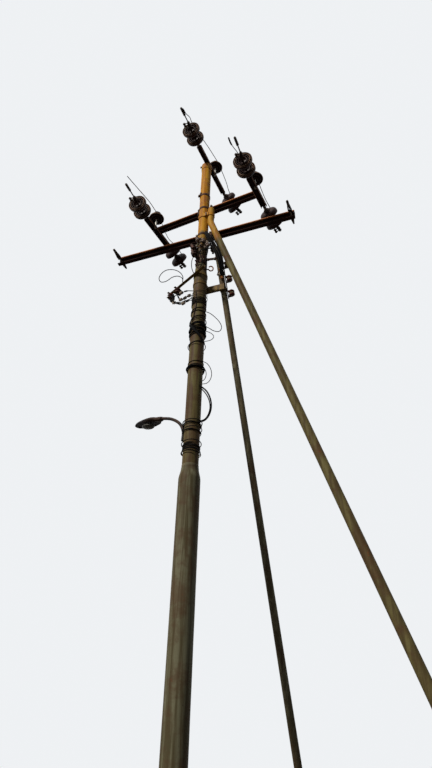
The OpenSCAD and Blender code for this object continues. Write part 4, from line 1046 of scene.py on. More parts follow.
def clamp_body(iron, direction, place):
    """Strain clamp: tapered body, keeper with two cross bolts, and a wire grip in front or a bore behind."""
    seat = place @ shift(z=CLAMP_SEAT)
    body = [(-17, 0), (17, 0), (26, 32), (26, CLAMP_LEN), (-2, CLAMP_LEN), (-10, CLAMP_LEN * 0.6), (-17, 32)]
    iron.prism(rounded(body, 0.1, 2), -15, 15, seat @ turn(90, "X"), 2.5)
    iron.block((-62, -12, CLAMP_LEN * 0.5 - 16), (-40, 12, CLAMP_LEN * 0.82 + 16), seat, edge=3.0)
    with iron.toned(WORN):
        for share in (0.5, 0.82):
            cross = seat @ shift(-66, 0, CLAMP_LEN * share) @ turn(90, "Y")
            iron.disc(6.5, 0, 100, cross)
            iron.hex(22, 7, cross @ shift(z=92))
            iron.disc(12, 89.5, 92, cross)
            iron.hex(20, 8, cross @ shift(z=27.5))
            iron.hex(20, 7, cross @ shift(z=-2))
    if direction > 0:
        bead = [(5.6, 0), (9.5, 0), (10.5, 4), (9.5, 7), (5.6, 7)]
        iron.lathe(bead, seat @ shift(12, 0, CLAMP_LEN - 6), 24)
    else:
        wire_grip(iron, seat @ shift(12, 0, CLAMP_LEN))


def wire_grip(iron, grip):
    """Tapered grip along +Z with the strands laid round it and its two bands."""
    r, length = GRIP_R, GRIP_LEN
    skin = [(8, -24), (8, length * 0.48), (r - 1.5, length * 0.54), (r - 1.5, length - 10), (r - 5, length)]
    bore = [(5.5, length), (5.5, length - 30), (0, length - 30)]
    iron.lathe([(0, -24)] + rounded(skin, 0.15, 2, closed=False) + bore, grip, 32)
    for start in range(0, 360, 45):
        strand = []
        for k in range(30):
            z = length * 0.53 + (length * 0.47 - 6) * k / 29
            strand.append(polar(r - 2.2, start + 250 * k / 29, z))
        iron.tube(strand, 2.2, 6, grip)
    band = [(r - 6, -5), (r - 0.4, -5), (r, -3.5), (r, 3.5), (r - 0.4, 5), (r - 6, 5)]
    for share in (0.5, 0.78):
        iron.lathe(band, grip @ shift(z=length * share), 32)


for name, phase in PHASES.items():
    for way, direction in WAYS:
        place = string_place(phase, direction)
        discs = Shape()
        for at in (FIRST_DISC, SECOND_DISC):
            discs.lathe(disc_profile(), place @ shift(z=at), 64, tone_of=rim_tone)
        make(f"{name}_{way}_disc_pair", discs, [GLAZE, GLAZE_RIM_HIGHLIGHT], "brown_glaze", f"{name}_{way}_discs")
        iron = Shape()
        string_iron(iron, direction, place)
        clamp_body(iron, direction, place)
        make(f"{name}_{way}_string_iron", iron, [IRON, IRON_WORN], "dark_iron", f"{name}_{way}_fittings")

# pin insulators

STEM_H, PIN_INS_H, SKIRT_R, STEM_R = 158.0, 148.0, 111.0, 12.0
WAIST_R, WAIST_Z = SKIRT_R * 0.42, 107.0


def pin_profile():
    r, h, w = SKIRT_R, PIN_INS_H, WAIST_R
    under = [(14, 22), (r * 0.3, 0), (r * 0.37, 0), (r * 0.42, 28), (r * 0.55, 32), (r * 0.6, 10),
             (r * 0.67, 10), (r * 0.72, 36), (r * 0.87, 38), (r * 0.94, 22)]
    over = [(r, 24), (r, 36), (r * 0.93, 50), (r * 0.78, 64), (r * 0.62, 76), (w + 6, 86), (w + 5, 94),
            (w, 100), (w, 114), (w + 7, 120), (w + 7, h - 14), (w, h - 4), (r * 0.25, h)]
    return rounded(under + over, 0.2, 2, closed=False) + [(0, h), (0, 90), (14, 90)]


def skirt_tone(a, b):
    """1, the glaze with a painted highlight, on the skirt's edge, and 0 elsewhere."""
    return 1 if min(a[0], b[0]) > SKIRT_R * 0.93 and max(a[1], b[1]) < 37 else 0


def make_pin(name, phase):
    place = member_place(phase) @ shift(*phase["pin"], 0)
    porcelain = Shape().lathe(pin_profile(), place @ shift(z=STEM_H), 64, tone_of=skirt_tone)
    make(f"{name}_pin_porcelain", porcelain, [GLAZE, GLAZE_RIM_HIGHLIGHT], "brown_glaze", f"{name}_pin_insulator")
    stem = Shape()
    r, top = STEM_R, STEM_H + 90
    outline = [(0, 0), (23, 0), (23, 8), (r + 3, 11), (r, 20), (r, top - 6), (r - 2, top), (0, top)]
    stem.lathe(rounded(outline, 0.06, 1), place, 32)
    stem.disc(10, -29, 2, place)
    stem.disc(20, -8.5, -5, place)
    stem.hex(31, 13, place @ shift(z=-8.5) @ turn(180, "X"))
    make(f"{name}_steel_pin", stem, [ZINC], "galvanised", f"{name}_pin")


for name, phase in PHASES.items():
    make_pin(name, phase)

# jumpers

OVER = DISC_R + 21
MOUTH = CLAMP_SEAT + CLAMP_LEN + GRIP_LEN
GRIP_SIDE = 12 + GRIP_R + WIRE_R + SEAT
CLAMP_TOP = 15 + WIRE_R + SEAT
# Points in the string's frame, to its right, up and outwards, from the free or gripped end to the pin
TAILS = {
    "top": [(GRIP_SIDE, 0, MOUTH - 22), (GRIP_SIDE, 0, MOUTH - 80), (GRIP_SIDE + 3, 14, MOUTH - 130),
            (40, 66, CLAMP_SEAT + 130), (26, OVER - 12, CLAMP_SEAT + 40), (16, OVER, CLAMP_SEAT - 15),
            (22, OVER, CLAMP_SEAT - 120), (40, OVER - 6, CLAMP_SEAT - 240), (62, 128, -60), (84, 126, -220)],
    "right": [(-90, 132, MOUTH - 93), (-85, 112, MOUTH - 172), (-72, 122, MOUTH - 260),
              (-60, OVER - 4, CLAMP_SEAT + 2), (-48, OVER, CLAMP_SEAT - 70),
              (-28, OVER + 2, CLAMP_SEAT - 210)],
    "left": [(20, 150, MOUTH - 18), (40, 138, MOUTH - 110), (62, 128, MOUTH - 210), (83, 130, CLAMP_SEAT + 2),
             (93, 134, CLAMP_SEAT - 75), (106, 148, CLAMP_SEAT - 230)],
}
BACK_TAIL = [(12, CLAMP_TOP, CLAMP_SEAT + CLAMP_LEN - 8), (12, CLAMP_TOP, CLAMP_SEAT + 52),
             (12, CLAMP_TOP + 5, CLAMP_SEAT + 26), (12, 50, CLAMP_SEAT + 5), (12, 90, CLAMP_SEAT - 3),
             (12, OVER - 18, CLAMP_SEAT - 6), (11, OVER + 8, CLAMP_SEAT - 24),
             (9, OVER + 18, CLAMP_SEAT - 80), (8, OVER + 22, CLAMP_SEAT - 220)]
BACK_SIDE = {"top": (80, 190, -80), "right": (14, 190, -60), "left": (-14, 178, -60)}


def string_point(p, phase, direction):
    """Point of a string in the member's frame; p is right, up and outwards."""
    d = math.radians(DROOP[direction])
    out = p[2] * math.cos(d) + p[1] * math.sin(d)
    up = p[1] * math.cos(d) - p[2] * math.sin(d)
    swung = turn(swing_of(phase, direction), "Z") @ Vector((p[0], direction * out, up))
    return swung + link_at(phase, direction)


def tie_wires(wire, name, head):
    """Tie of a jumper at the waist of its pin insulator, or over its head."""
    for z in (-4, 0.5, 5):
        wire.tube(ring(WAIST_R + 2.2, 36, WAIST_Z + z), 2.0, 6, head, closed=True)
    if name == "top":
        loop, centre = WIRE_R + 2.6, WAIST_R + WIRE_R
        for y in (-26, -16, 14, 24):
            path = [(centre + loop * math.cos(a), y + 1.5 * a / math.pi, WAIST_Z + loop * math.sin(a))
                    for a in angles(12, 1)]
            wire.tube(path, 2.0, 6, head)
        return
    side, top = WAIST_R + 10, PIN_INS_H + 2 * WIRE_R + 3
    for lean in (-1, 1):
        lash = [(-WAIST_R - 2, -12, WAIST_Z), (-side, -12, 124), (-side + 2, -11, PIN_INS_H - 10),
                (-34, -9, PIN_INS_H + 3), (0, 0, top), (34, 9, PIN_INS_H + 3),
                (side - 2, 11, PIN_INS_H - 10), (side, 12, 124), (WAIST_R + 2, 12, WAIST_Z)]
        wire.tube(smooth_path([(x, lean * y, z) for x, y, z in lash], 4), 2.0, 6, head)


# radius, first and last point of the crimped sleeve near a jumper's free end
SLEEVES = {"right": (10.5, 0, 9), "top": (8.5, 2, 9)}


def make_jumper(name, phase):
    pin = Vector((*phase["pin"], 0))
    beside = Vector((WAIST_R + WIRE_R + SEAT, 0, STEM_H + WAIST_Z))
    above = Vector((0, 0, STEM_H + PIN_INS_H + WIRE_R + SEAT))
    tie = pin + (beside if name == "top" else above)
    front = [string_point(p, phase, -1) for p in TAILS[name]]
    back = [string_point(p, phase, 1) for p in [BACK_SIDE[name]] + BACK_TAIL[::-1]]
    path = smooth_path(front + [tie + Vector((0, y, 0)) for y in (-34, 0, 34)] + back, 6)
    wire = Shape()
    wire.tube(path, WIRE_R, 10)
    if name in SLEEVES:
        r, first, last = SLEEVES[name]
        wire.tube(path[first:last], r, 12, swell=lambda i: 0.82 if i in (0, last - first - 1) else 1.0)
    tie_wires(wire, name, shift(*phase["pin"], STEM_H))
    placed = Shape().add(wire.points, wire.faces, member_place(phase))
    make(f"{name}_jumper_wire", placed, [BARE_WIRE], "bare_wire", f"{name}_jumper")


for name, phase in PHASES.items():
    make_jumper(name, phase)

# guard wire fittings at the lower arm's ends

GUARD_REACH, GUARD_T = 190.0, 22.0


def make_guard(name, x):
    """Bolt through the arm, with an eye frame and its bound nose in front and a wedge clamp behind."""
    guard = Shape()
    front, half = ARM_FRONT - 22, GUARD_T / 2
    place = shift(x, front, LOWER_ARM_Z)
    with guard.toned(WORN):
        guard.bolt(16, ARM_BACK - front, place @ shift(0, 4) @ turn(-90, "X"), tail=2)
    guard.block((-26, -36, -half), (26, 6, half), place, edge=3)
    leg = [(28, -34), (10, -34), (5, -104), (8, -112), (20, -104)]
    for side in (-1, 1):
        guard.prism([(side * px, py) for px, py in leg], -half, half, place, 2)
    nose = [(-18.8, -100), (18.8, -100), (11, -GUARD_REACH), (-11, -GUARD_REACH)]
    guard.prism(nose, -half, half, place, 2)
    guard.prism([(-5, -34), (5, -34), (4, -104), (-4, -104)], -8, 8, place, 1)
    with guard.toned(WORN):
        for y in (-112, -146):
            guard.disc(7, -14, 14, place @ shift(0, y))
            guard.hex(16, 5, place @ shift(0, y, -half) @ turn(180, "X"))
    # twisted binding on the nose
    for k in range(5):
        y = -GUARD_REACH + 12 + 7 * k
        loop = [(15 * math.cos(a), y + 1.2 * a / math.pi, 14 * math.sin(a)) for a in angles(14, 1)]
        guard.tube(loop, 2.4, 6, place)
    back = shift(x, ARM_BACK + 22, LOWER_ARM_Z)
    guard.prism([(-20, 0), (20, 0), (20, 34), (8, 100), (-8, 100), (-20, 34)], -9, 9, back, 2.5)
    with guard.toned(WORN):
        for y in (40, 66):
            guard.disc(5, -13, 13, back @ shift(0, y))
            guard.hex(14, 5, back @ shift(0, y, 8))
    make(f"{name}_guard_fitting", guard, [IRON, IRON_WORN], "dark_iron", f"{name}_guard_eye")


for name, x in GUARD_X.items():
    make_guard(name, x)

# low-voltage racks

BOBBIN_R, BOBBIN_H, BOBBIN_PITCH, RACK_W, RACK_T = 39.0, 76.0, 215.0, 38.0, 5.0
RACK_Z, RACK_RING_Z = 6760.0, 110.0
RACK_OFF = BACK_STRUT_R + 8 + 3 * SEAT


def bobbin_profile():
    r, h = BOBBIN_R, BOBBIN_H
    low = [(9, -h / 2), (r * 0.7, -h / 2), (r, -h * 0.38), (r, -h * 0.22), (r * 0.66, -h * 0.08)]
    return rounded(low + [(x, -z) for x, z in reversed(low)], 0.2, 2, closed=False)


def bobbin(shape, place, tail):
    """Shackle insulator with wire rings in its groove, which end in the tail."""
    shape.lathe(bobbin_profile(), place, 40)
    groove = BOBBIN_R * 0.66 + 2.2
    with shape.toned(1):
        for z in (-4, 0, 4):
            shape.tube(ring(groove + (1.6 if z == 0 else 0), 30, z), 2.3, 6, place, closed=True)
        shape.tube(smooth_path(tail, 4), 2.3, 6, place)


def rack_place():
    at = along(BACK_FOOT, BACK_PASS, RACK_Z)
    up = (BACK_PASS - BACK_FOOT).normalized()
    front = up.cross(Vector((1, 0, 0))).normalized()
    right = front.cross(up)
    return Matrix.Translation(at + right * RACK_OFF) @ Matrix((right, front, up)).transposed().to_4x4()


def make_right_rack():
    place = rack_place()
    rack, bobbins = Shape(), Shape()
    tall = BOBBIN_PITCH * 2 + BOBBIN_H + 60
    half_w, reach = RACK_W / 2, BOBBIN_R + 12
    rack.block((0, -half_w, -tall / 2), (RACK_T, half_w, tall / 2), place, edge=1.5)
    ear = [(-reach, -half_w), (2, -half_w), (14, -half_w + 10), (14, half_w - 10), (2, half_w),
           (-reach, half_w)]
    for i in (-1, 0, 1):
        seat = place @ shift(reach, 0, i * BOBBIN_PITCH)
        for side in (-1, 1):
            z = side * (BOBBIN_H + RACK_T) / 2
            rack.prism(ear, z - RACK_T / 2, z + RACK_T / 2, seat, 0.8)
        with rack.toned(WORN):
            rack.stud(8, BOBBIN_H / 2 + 13, 24, 8, BOBBIN_H / 2 + 5, seat)
        bobbin(bobbins, seat, [(30, 8, 2), (36, 20, 4), (30, 30, 8), (14, 36, 10)])
    band = ring(BACK_STRUT_R + SEAT + 4, 60)
    rack.strip(band, -BAND_H / 2, BAND_H / 2, 7, place @ shift(-RACK_OFF, 0, RACK_RING_Z), closed=True)
    with rack.toned(WORN):
        seat = place @ shift(-RACK_OFF - BACK_STRUT_R - 8, -6, RACK_RING_Z) @ turn(-90, "X")
        rack.bolt(9, 12, seat, tail=0)
    make("right_rack_iron", rack, [IRON, IRON_WORN], "dark_iron", "right_rack")
    make("right_rack_porcelain", bobbins, [RED_GLAZE, LIGHT_WIRE], "brown_glaze", "right_rack_bobbins")


SERVICE_OUT, SERVICE_IN, SERVICE_Y, SERVICE_STRAP = 530.0, 190.0, MIDDLE_R + SEAT, 5.0
SERVICE_PLACE = shift(z=RACK_Z) @ turn(152, "Z")


def make_service_bar():
    bar, bobbins = Shape(), Shape()
    y = SERVICE_Y
    angle = [(y, 0), (y + 40, 0), (y + 40, 5), (y + 8, 5.5), (y + 5.5, 8), (y + 5, 40), (y, 40)]
    rings = []
    for i in range(25):
        x = -SERVICE_IN + (SERVICE_IN + SERVICE_OUT) * i / 24
        rings.append([(x, py, pz) for py, pz in rounded(angle, 0.08, 1)])
    bar.loft(rings, SERVICE_PLACE)
    strap = arc(y + STRAP_T / 2, 100, 340, 56)
    path = [(strap[0].x - 3, y + 12)] + strap + [(strap[-1].x + 3, y + 12)]
    bar.strip(path, 4, 4 + BAND_H, STRAP_T - 0.6, SERVICE_PLACE)
    with bar.toned(WORN):
        for x in (-40, 40):
            bar.bolt(11, 10, SERVICE_PLACE @ shift(x, y - 4, 22) @ turn(-90, "X"), tail=2)
    reach, out = BOBBIN_H / 2 + SERVICE_STRAP, BOBBIN_R + 16
    upper = [(out, reach - 2.5), (6 - out, reach - 2.5), (2.5 - out, reach - 6)]
    path = upper + [(x, -z) for x, z in reversed(upper)]
    for x in (330, 470):
        seat = SERVICE_PLACE @ shift(x, y + 22, -12 - reach)
        bar.strip(path, -16, 16, SERVICE_STRAP, seat @ CYCLED)
        with bar.toned(WORN):
            bar.stud(8, reach + 10, 23, 8, reach, seat)
        bobbin(bobbins, seat, [(28, 6, 0), (34, 22, -6), (20, 34, -14)])
    make("service_bar_iron", bar, [BRACKET, IRON_WORN], "strut_steel", "service_bar")
    make("service_porcelain", bobbins, [RED_GLAZE, IRON_WIRE], "brown_glaze", "service_bobbins")


make_right_rack()
make_service_bar()

# street lamp

LAMP_TUBE_R = 33.7 / 2
LAMP_FOOT = Vector((-(MIDDLE_R + LAMP_TUBE_R + SEAT), 0, LOWER_TOP + 335))
LAMP_NECK = LAMP_FOOT + Vector((-290, 60, 360))
LAMP_DIR = Vector((-0.86, 0.46, 0.2)).normalized()
# distance along the head, half width, and height below and above its middle at each section
LAMP_SECTIONS = [
    (2, 20, -18, 16), (6, 26, -22, 20), (40, 32, -24, 24), (90, 44, -22, 26), (110, 66, -19, 27),
    (150, 80, -18, 28), (208, 84, -18, 28), (300, 82, -18, 26), (380, 74, -17, 23), (450, 58, -16, 18),
    (495, 38, -14, 12), (512, 18, -10, 8),
]


def lamp_place():
    rise = math.degrees(math.asin(LAMP_DIR.z))
    facing = turn(math.degrees(math.atan2(LAMP_DIR.y, LAMP_DIR.x)), "Z")
    return Matrix.Translation(LAMP_NECK) @ facing @ turn(-rise, "Y")


def lamp_section(x, half, low, high):
    """Cross-section of the lamp body at x: flat below, domed above."""
    section = []
    for a in angles(28):
        y = half * math.copysign(abs(math.cos(a)) ** 0.7, math.cos(a))
        z = high * math.sin(a) ** 0.9 if math.sin(a) > 0 else low * abs(math.sin(a)) ** 0.45
        section.append((x, y, z))
    return section


def make_lamp():
    arm = Shape()
    points = [LAMP_FOOT, LAMP_FOOT + Vector((0, 0, 110)), LAMP_FOOT + Vector((-50, 8, 220)),
              LAMP_FOOT + Vector((-160, 32, 310)), LAMP_NECK]
    arm.tube(smooth_path(points, 10), LAMP_TUBE_R, 28)
    make("lamp_bracket_tube", arm, [LAMP_METAL], "lamp_metal", "lamp_arm")
    place = lamp_place()
    head = Shape()
    head.loft([lamp_section(*station) for station in LAMP_SECTIONS], place)
    rim = [(275 + 190 * math.cos(a), 74 * math.sin(a) * (1 - 0.12 * math.cos(a)), -17) for a in angles(48)]
    head.tube(rim, 4, 8, place, closed=True)
    with head.toned(WORN):
        for x in (22, 58):
            head.hex(13, 6, place @ shift(x, 0, -21) @ turn(180, "X"))
    make("lamp_canopy", head, [LAMP_METAL, IRON_WORN], "lamp_metal", "lamp_head")
    rings = []
    for i in range(15):
        u = math.radians(-86 + 172 * i / 14)
        x, r = 260 + 94 * math.sin(u), math.cos(u)
        rings.append([(x, 58 * r * math.cos(a), -46 + 23 * r * math.sin(a)) for a in angles(28)])
    make("lamp_bowl", Shape().loft(rings, place), [LAMP_GLASS], "lamp_glass", "lamp_lens")


make_lamp()

# wires wound round the middle tube

CABLE_R = 4.5
WIND_R = MIDDLE_R + CABLE_R + SEAT


# piece and node; material and its slot; heights from and to, turns, angle of the start, unevenness, its seed,
# and how far the climb runs ahead in its first half, as a share of the height
WINDINGS = [
    ("upper_wire_coil", "upper_wire_turns", IRON_WIRE, "iron_wire", (6258, 6382, 5.6, 30, 10, 2.0, 0.0)),
    ("lower_wire_coil", "lower_wire_turns", IRON_WIRE, "iron_wire", (4288, 4352, 3.6, 80, 6, 5.0, 0.0)),
    ("cable_winding", "cable_wraps", CABLE, "black_cable", (5580, 6236, 7, 40, 16, 8.0, 0.08)),
]
# (height, lean, direction of the high side, wire radius) of each spare turn seen on the middle tube
SPARE_TURNS = [
    (6330, 18, 200, 3.5), (6460, 12, -60, 3.0), (6412, -16, -40, 3.0), (6136, 14, -60, 5.0),
    (6010, 22, -30, 5.5), (5962, -30, -60, 4.5), (5940, 26, -20, 5.5), (5918, -12, -90, 4.0),
    (5900, 34, 10, 5.0), (5880, -22, -40, 4.5), (5862, 16, -80, 5.5), (5842, -30, -10, 5.0),
    (5826, 24, 30, 4.0), (5806, 12, -70, 5.0), (5646, 10, -20, 4.5), (5392, 6, 20, 3.5), (5330, 12, -40, 5.5),
    (5322, -6, -100, 6.5), (5312, 4, 60, 5.0), (5302, 10, -70, 6.0), (4616, 8, -30, 5.0), (4600, -6, 10, 4.5),
    (4586, 5, -60, 5.0), (4536, 9, 30, 5.0), (4514, -8, -20, 4.5), (4500, 5, -80, 4.0), (4368, 12, -40, 5.0),
    (4330, -10, 0, 5.5), (4272, 10, -60, 5.0), (4256, -6, -20, 4.5),
]


def wound(low, high, turns, start, unevenness, seed, ahead):
    """A wire wound round the pole from low to high."""
    steps = int(28 * turns) + 1
    path = []
    for i in range(steps + 1):
        u = i / steps
        climb = u + ahead * math.sin(2 * math.pi * u)
        sway = unevenness * noise.noise(Vector((u * turns * 2.1, seed, 4.0))) * min(1.0, 4 * u, 4 * (1 - u))
        path.append(polar(WIND_R, start + 360 * turns * u, low + (high - low) * climb + sway))
    return Shape().tube(path, CABLE_R, 8)


def make_spare_turns():
    turns = Shape()
    for k, (z, lean, towards, radius) in enumerate(SPARE_TURNS):
        r = MIDDLE_R + radius + 0.5 + 6 * (k % 3)
        path = [polar(r, a, z + lean * math.cos(math.radians(a - towards))) for a in range(0, 360, 10)]
        turns.tube(path, radius, 8, closed=True)
    # black bundle that crosses the net of turns from high left to low right
    for k, spread in enumerate((-26, -9, 8, 24)):
        path = []
        for i in range(25):
            u = i / 24
            r, angle = MIDDLE_R + 16 + 4 * math.sin(3 * u + k), -140 + 116 * u + 2 * math.sin(5 * u + k)
            path.append(polar(r, angle, 5964 + spread * (1 - 0.5 * u) - 280 * u))
        turns.tube(path, 6.0, 8)
    # a wire that climbs from the net to the upper coil
    climb = [i / 30 for i in range(31)]
    path = [polar(MIDDLE_R + 6, -118 + 30 * math.sin(2.4 * u), 5980 + 480 * u) for u in climb]
    turns.tube(path, 3.5, 8)
    make("spare_wire_turns", turns, [CABLE], "black_cable")


for name, node, material, slot, course in WINDINGS:
    make(name, wound(*course), [material], slot, node)
make_spare_turns()

# fittings crowded round the pole below the lower arm

# Numbers of the crowd's further materials
BROWN, ORANGE, PORCELAIN = 2, 3, 4


def connector(shape, at, towards, size):
    """Parallel-groove connector: two ribbed halves with their bolts, on the line at - towards."""
    place = aimed(at, towards) @ Matrix.Scale(size, 4)
    ribs = [(-15, 3), (-15, 9), (-10, 13), (-5, 10), (0, 14), (5, 10), (10, 13), (15, 9), (15, 3)]
    for side in (-1, 1):
        shape.prism([(x, side * y) for x, y in ribs], -22, 22, place, 2)
    for z in (-11, 11):
        shape.bolt(8, 28, place @ shift(0, -14, z) @ turn(-90, "X"), tail=2)


def shackle(shape, at, towards):
    """Shackle insulator in its iron, aimed along its bolt."""
    place = aimed(at, towards)
    with shape.toned(BROWN):
        shape.lathe(bobbin_profile(), place, 36)
    half = BOBBIN_H / 2 + 3
    strap = [(BOBBIN_R + 12, half), (-BOBBIN_R - 8, half), (-BOBBIN_R - 8, -half), (BOBBIN_R + 12, -half)]
    shape.strip(strap, -14, 14, 5, place @ UPRIGHT)
    with shape.toned(WORN):
        shape.stud(8, half + 14, 22, 7, half + 2.5, place)


# where each connector, knob or shackle of the crowd lies, and the point that it is aimed at
UPPER_CONNECTORS = [
    ((-31, -92, 7434), (10, -100, 7470)), ((-58, -84, 7300), (-20, -96, 7330)),
    ((18, -98, 7352), (60, -90, 7372)), ((92, -60, 7361), (120, -40, 7300)),
    ((108, -36, 7330), (150, -10, 7330)), ((138, -20, 7400), (160, -10, 7350)),
]
KNOBS = [
    ((-34, -88, 7418), (-20, -92, 7340)), ((44, -84, 7372), (62, -78, 7300)),
    ((100, -58, 7300), (120, -50, 7240)),
]
LOWER_CONNECTORS = [
    ((-44, -84, 7304), (-30, -90, 7250)), ((128, 40, 7385), (140, 44, 7330)),
    ((10, -92, 7300), (24, -92, 7270)), ((70, -74, 7250), (84, -66, 7210)),
    ((20, -92, 7180), (44, -88, 7150)),
]
STRUT_JOINTS = [
    ((252, 30, 6960), (268, 34, 6920)), ((248, 44, 6890), (266, 42, 6870)),
    ((240, 62, 6822), (256, 64, 6800)), ((262, 76, 6768), (270, 78, 6730)),
]
SHACKLES = [
    ((-72, -112, 7240), (-40, -118, 7160)), ((-58, -118, 7118), (-34, -122, 7040)),
    ((148, 24, 7290), (158, 30, 7210)),
]
# lower and upper edge of each band above the middle tube's mouth, and the angle that it is turned by
CROWD_BANDS = [(6985, 7055, 28), (7268, 7300, -62), (7398, 7428, 10)]
# height and angle of each peg that holds a shackle, and of each hook at the left front
PEGS = [(7262, -118), (7098, -112), (7316, 8)]
HOOKS = [(7012, -116), (6930, -112)]
# how far out from the tube, further round and below its root each point of a hook lies
HOOK_BEND = [(2, 0, 0), (34, 0, 0), (46, 10, 14), (40, 22, 30), (22, 26, 30)]
EYE_CENTRE, EYE_STEM = Vector((126, 24, 6926)), [(62, 8, 6912), (80, 12, 6912)]


def make_pole_fittings():
    crowd = Shape()
    for low, high, facing in CROWD_BANDS:
        clamp_ring(crowd, UPPER_R, low, high, turn(facing, "Z"))
    for at, towards in SHACKLES:
        shackle(crowd, at, towards)
    for z, angle in PEGS:
        crowd.tube([polar(UPPER_R, angle, z), polar(UPPER_R + 40, angle, z - 6)], 9, 10)
    for z, angle in HOOKS:
        hook = [polar(UPPER_R + out, angle + sweep, z - drop) for out, sweep, drop in HOOK_BEND]
        crowd.tube(smooth_path(hook, 5), 7, 10)
    # open eye at the pole's right
    bend = [math.radians(200 + 300 * k / 24) for k in range(25)]
    eye = [EYE_CENTRE + Vector((28 * math.cos(a), 11 * math.cos(a), 42 * math.sin(a))) for a in bend]
    with crowd.toned(ORANGE):
        crowd.tube(EYE_STEM + eye, 8, 10)
    # worn connectors, and pale porcelain knobs on iron pins, in front of the pole
    with crowd.toned(WORN):
        for at, towards in UPPER_CONNECTORS:
            connector(crowd, at, towards, 0.8)
    for at, towards in KNOBS:
        place = aimed(at, towards)
        with crowd.toned(PORCELAIN):
            crowd.lathe(bobbin_profile(), place @ Matrix.Scale(0.72, 4), 30)
        crowd.disc(7, -44, 44, place)
    with crowd.toned(WORN):
        for at, towards in LOWER_CONNECTORS:
            connector(crowd, at, towards, 0.72)
    # joints on the back strut's front, between the plate and the rack
    for k, (at, towards) in enumerate(STRUT_JOINTS):
        with crowd.toned(ORANGE if k % 2 else WORN):
            connector(crowd, at, towards, 0.95)
    make("pole_fittings", crowd, [STRAP, IRON_WORN, GLAZE, EYE_PAINT, PALE_GLAZE], "dark_iron")


# leads between the service bar's insulators and the pole, and the clamps that join them
JOINT_ROUTES = [
    [(-352, 36, 6705), (-326, 44, 6610), (-284, 56, 6535), (-222, 50, 6540), (-150, 10, 6520),
     (-86, -18, 6480)],
    [(-476, 100, 6705), (-448, 86, 6600), (-384, 76, 6530), (-300, 60, 6492), (-200, 26, 6462),
     (-84, -28, 6430)],
    [(-354, 34, 6700), (-392, 40, 6580), (-340, 36, 6470), (-220, 10, 6410), (-140, -10, 6420),
     (-85, -23, 6390)],
    [(-478, 96, 6700), (-430, 70, 6640), (-350, 30, 6600), (-250, -10, 6580), (-160, -40, 6560),
     (-80, -36, 6540)],
]
JOINT_CLAMPS = [
    ((-284, 56, 6535), (-222, 50, 6540)), ((-222, 50, 6540), (-150, 10, 6520)),
    ((-384, 76, 6530), (-300, 60, 6492)), ((-146, 8, 6519), (-90, -16, 6482)),
    ((-250, -10, 6580), (-160, -40, 6560)), ((-220, 10, 6410), (-140, -10, 6420)),
]
# short leads between the fittings, held at both ends
LEAD_ROUTES = [
    [(-72, -12, 7480), (-70, -66, 7456), (-31, -92, 7434), (10, -104, 7400), (18, -98, 7352),
     (60, -86, 7330)],
    [(-60, -44, 7385), (-58, -84, 7300), (-70, -112, 7240)],
    [(46, -60, 7392), (92, -60, 7361), (112, -40, 7330), (148, 10, 7290)],
    [(18, -98, 7352), (-10, -110, 7290), (-40, -122, 7200), (-44, -128, 7120), (-20, -116, 7040),
     (0, -80, 6990)],
    [(62, -40, 7306), (100, -58, 7290), (104, -52, 7200), (96, -60, 7100), (84, -60, 7020), (88, -38, 6950),
     (84, -18, 6880)],
    [(-60, -100, 7118), (-96, -90, 7040), (-104, -70, 6950), (-92, -58, 6880), (-74, -48, 6830)],
    [(32, -68, 7246), (20, -112, 7150), (34, -106, 7060), (50, -92, 6980), (40, -92, 6900), (9, -88, 6830)],
    [(68, -28, 7440), (104, -26, 7424), (138, -20, 7400), (160, -8, 7350), (156, 14, 7300)],
    [(68, 20, 7404), (100, 32, 7398), (128, 40, 7385), (140, 44, 7330), (150, 28, 7290)],
    [(-44, -84, 7304), (10, -92, 7300), (24, -92, 7270), (70, -74, 7250), (84, -66, 7210), (104, -52, 7196)],
    [(84, -66, 7212), (60, -84, 7190), (20, -92, 7180), (-20, -86, 7160), (-42, -112, 7150)],
]


def make_service_joints():
    leads, joints = Shape(), Shape()
    for k, route in enumerate(JOINT_ROUTES):
        path = smooth_path(route, 6)
        leads.tube(path, 4.5 + k % 2, 8)
        # taped joints, thick in the middle
        for first in (6, 14, 21):
            thick = 13 if (first + k) % 2 else 10
            leads.tube(path[first:first + 5], thick, 10, swell=lambda i: 0.6 if i in (0, 4) else 1.0)
    for at, towards in JOINT_CLAMPS:
        connector(joints, at, towards, 1.05)
    make("service_joint_leads", leads, [CABLE], "black_cable")
    make("service_joint_clamps", joints, [IRON_WORN], "dark_iron")


def make_service_leads():
    leads = Shape()
    for k, route in enumerate(LEAD_ROUTES):
        leads.tube(smooth_path(route, 6), 5.0 if k % 2 else 6.5, 8)
    make("service_leads", leads, [CABLE], "black_cable")


make_pole_fittings()
make_service_leads()
make_service_joints()

# black bundle from the lower arm's strap to the back strut, and the coil in front of the service bar

BUNDLE = [
    (70, -62, 7556), (100, -84, 7476), (138, -84, 7399), (190, -66, 7265), (238, -52, 7134), (270, -36, 7004),
    (280, 0, 6900), (262, 56, 6806),
]
COIL = [
    (-236, -26, 6776), (-206, -96, 6778), (-214, -172, 6778), (-256, -222, 6784), (-312, -246, 6788),
    (-371, -266, 6770), (-420, -284, 6700), (-434, -290, 6620), (-404, -280, 6566), (-344, -258, 6584),
    (-284, -236, 6650), (-226, -196, 6692), (-200, -120, 6720), (-236, -26, 6750),
]
for k in range(6):
    depth = 8 if k % 2 else -8
    points = []
    for i, (x, y, z) in enumerate(BUNDLE):
        spread = (k - 2.5) * (5 + 10 * math.sin(math.pi * i / 7))
        place = (x + 0.93 * spread + 0.36 * depth, y + 0.36 * spread - 0.93 * depth, z + 6 * math.sin(i + k))
        points.append(place)
    free_cord(f"bundle_cable_{k + 1}", points, 8.0)
free_cord("spare_coil", COIL, 4.9)

# studio


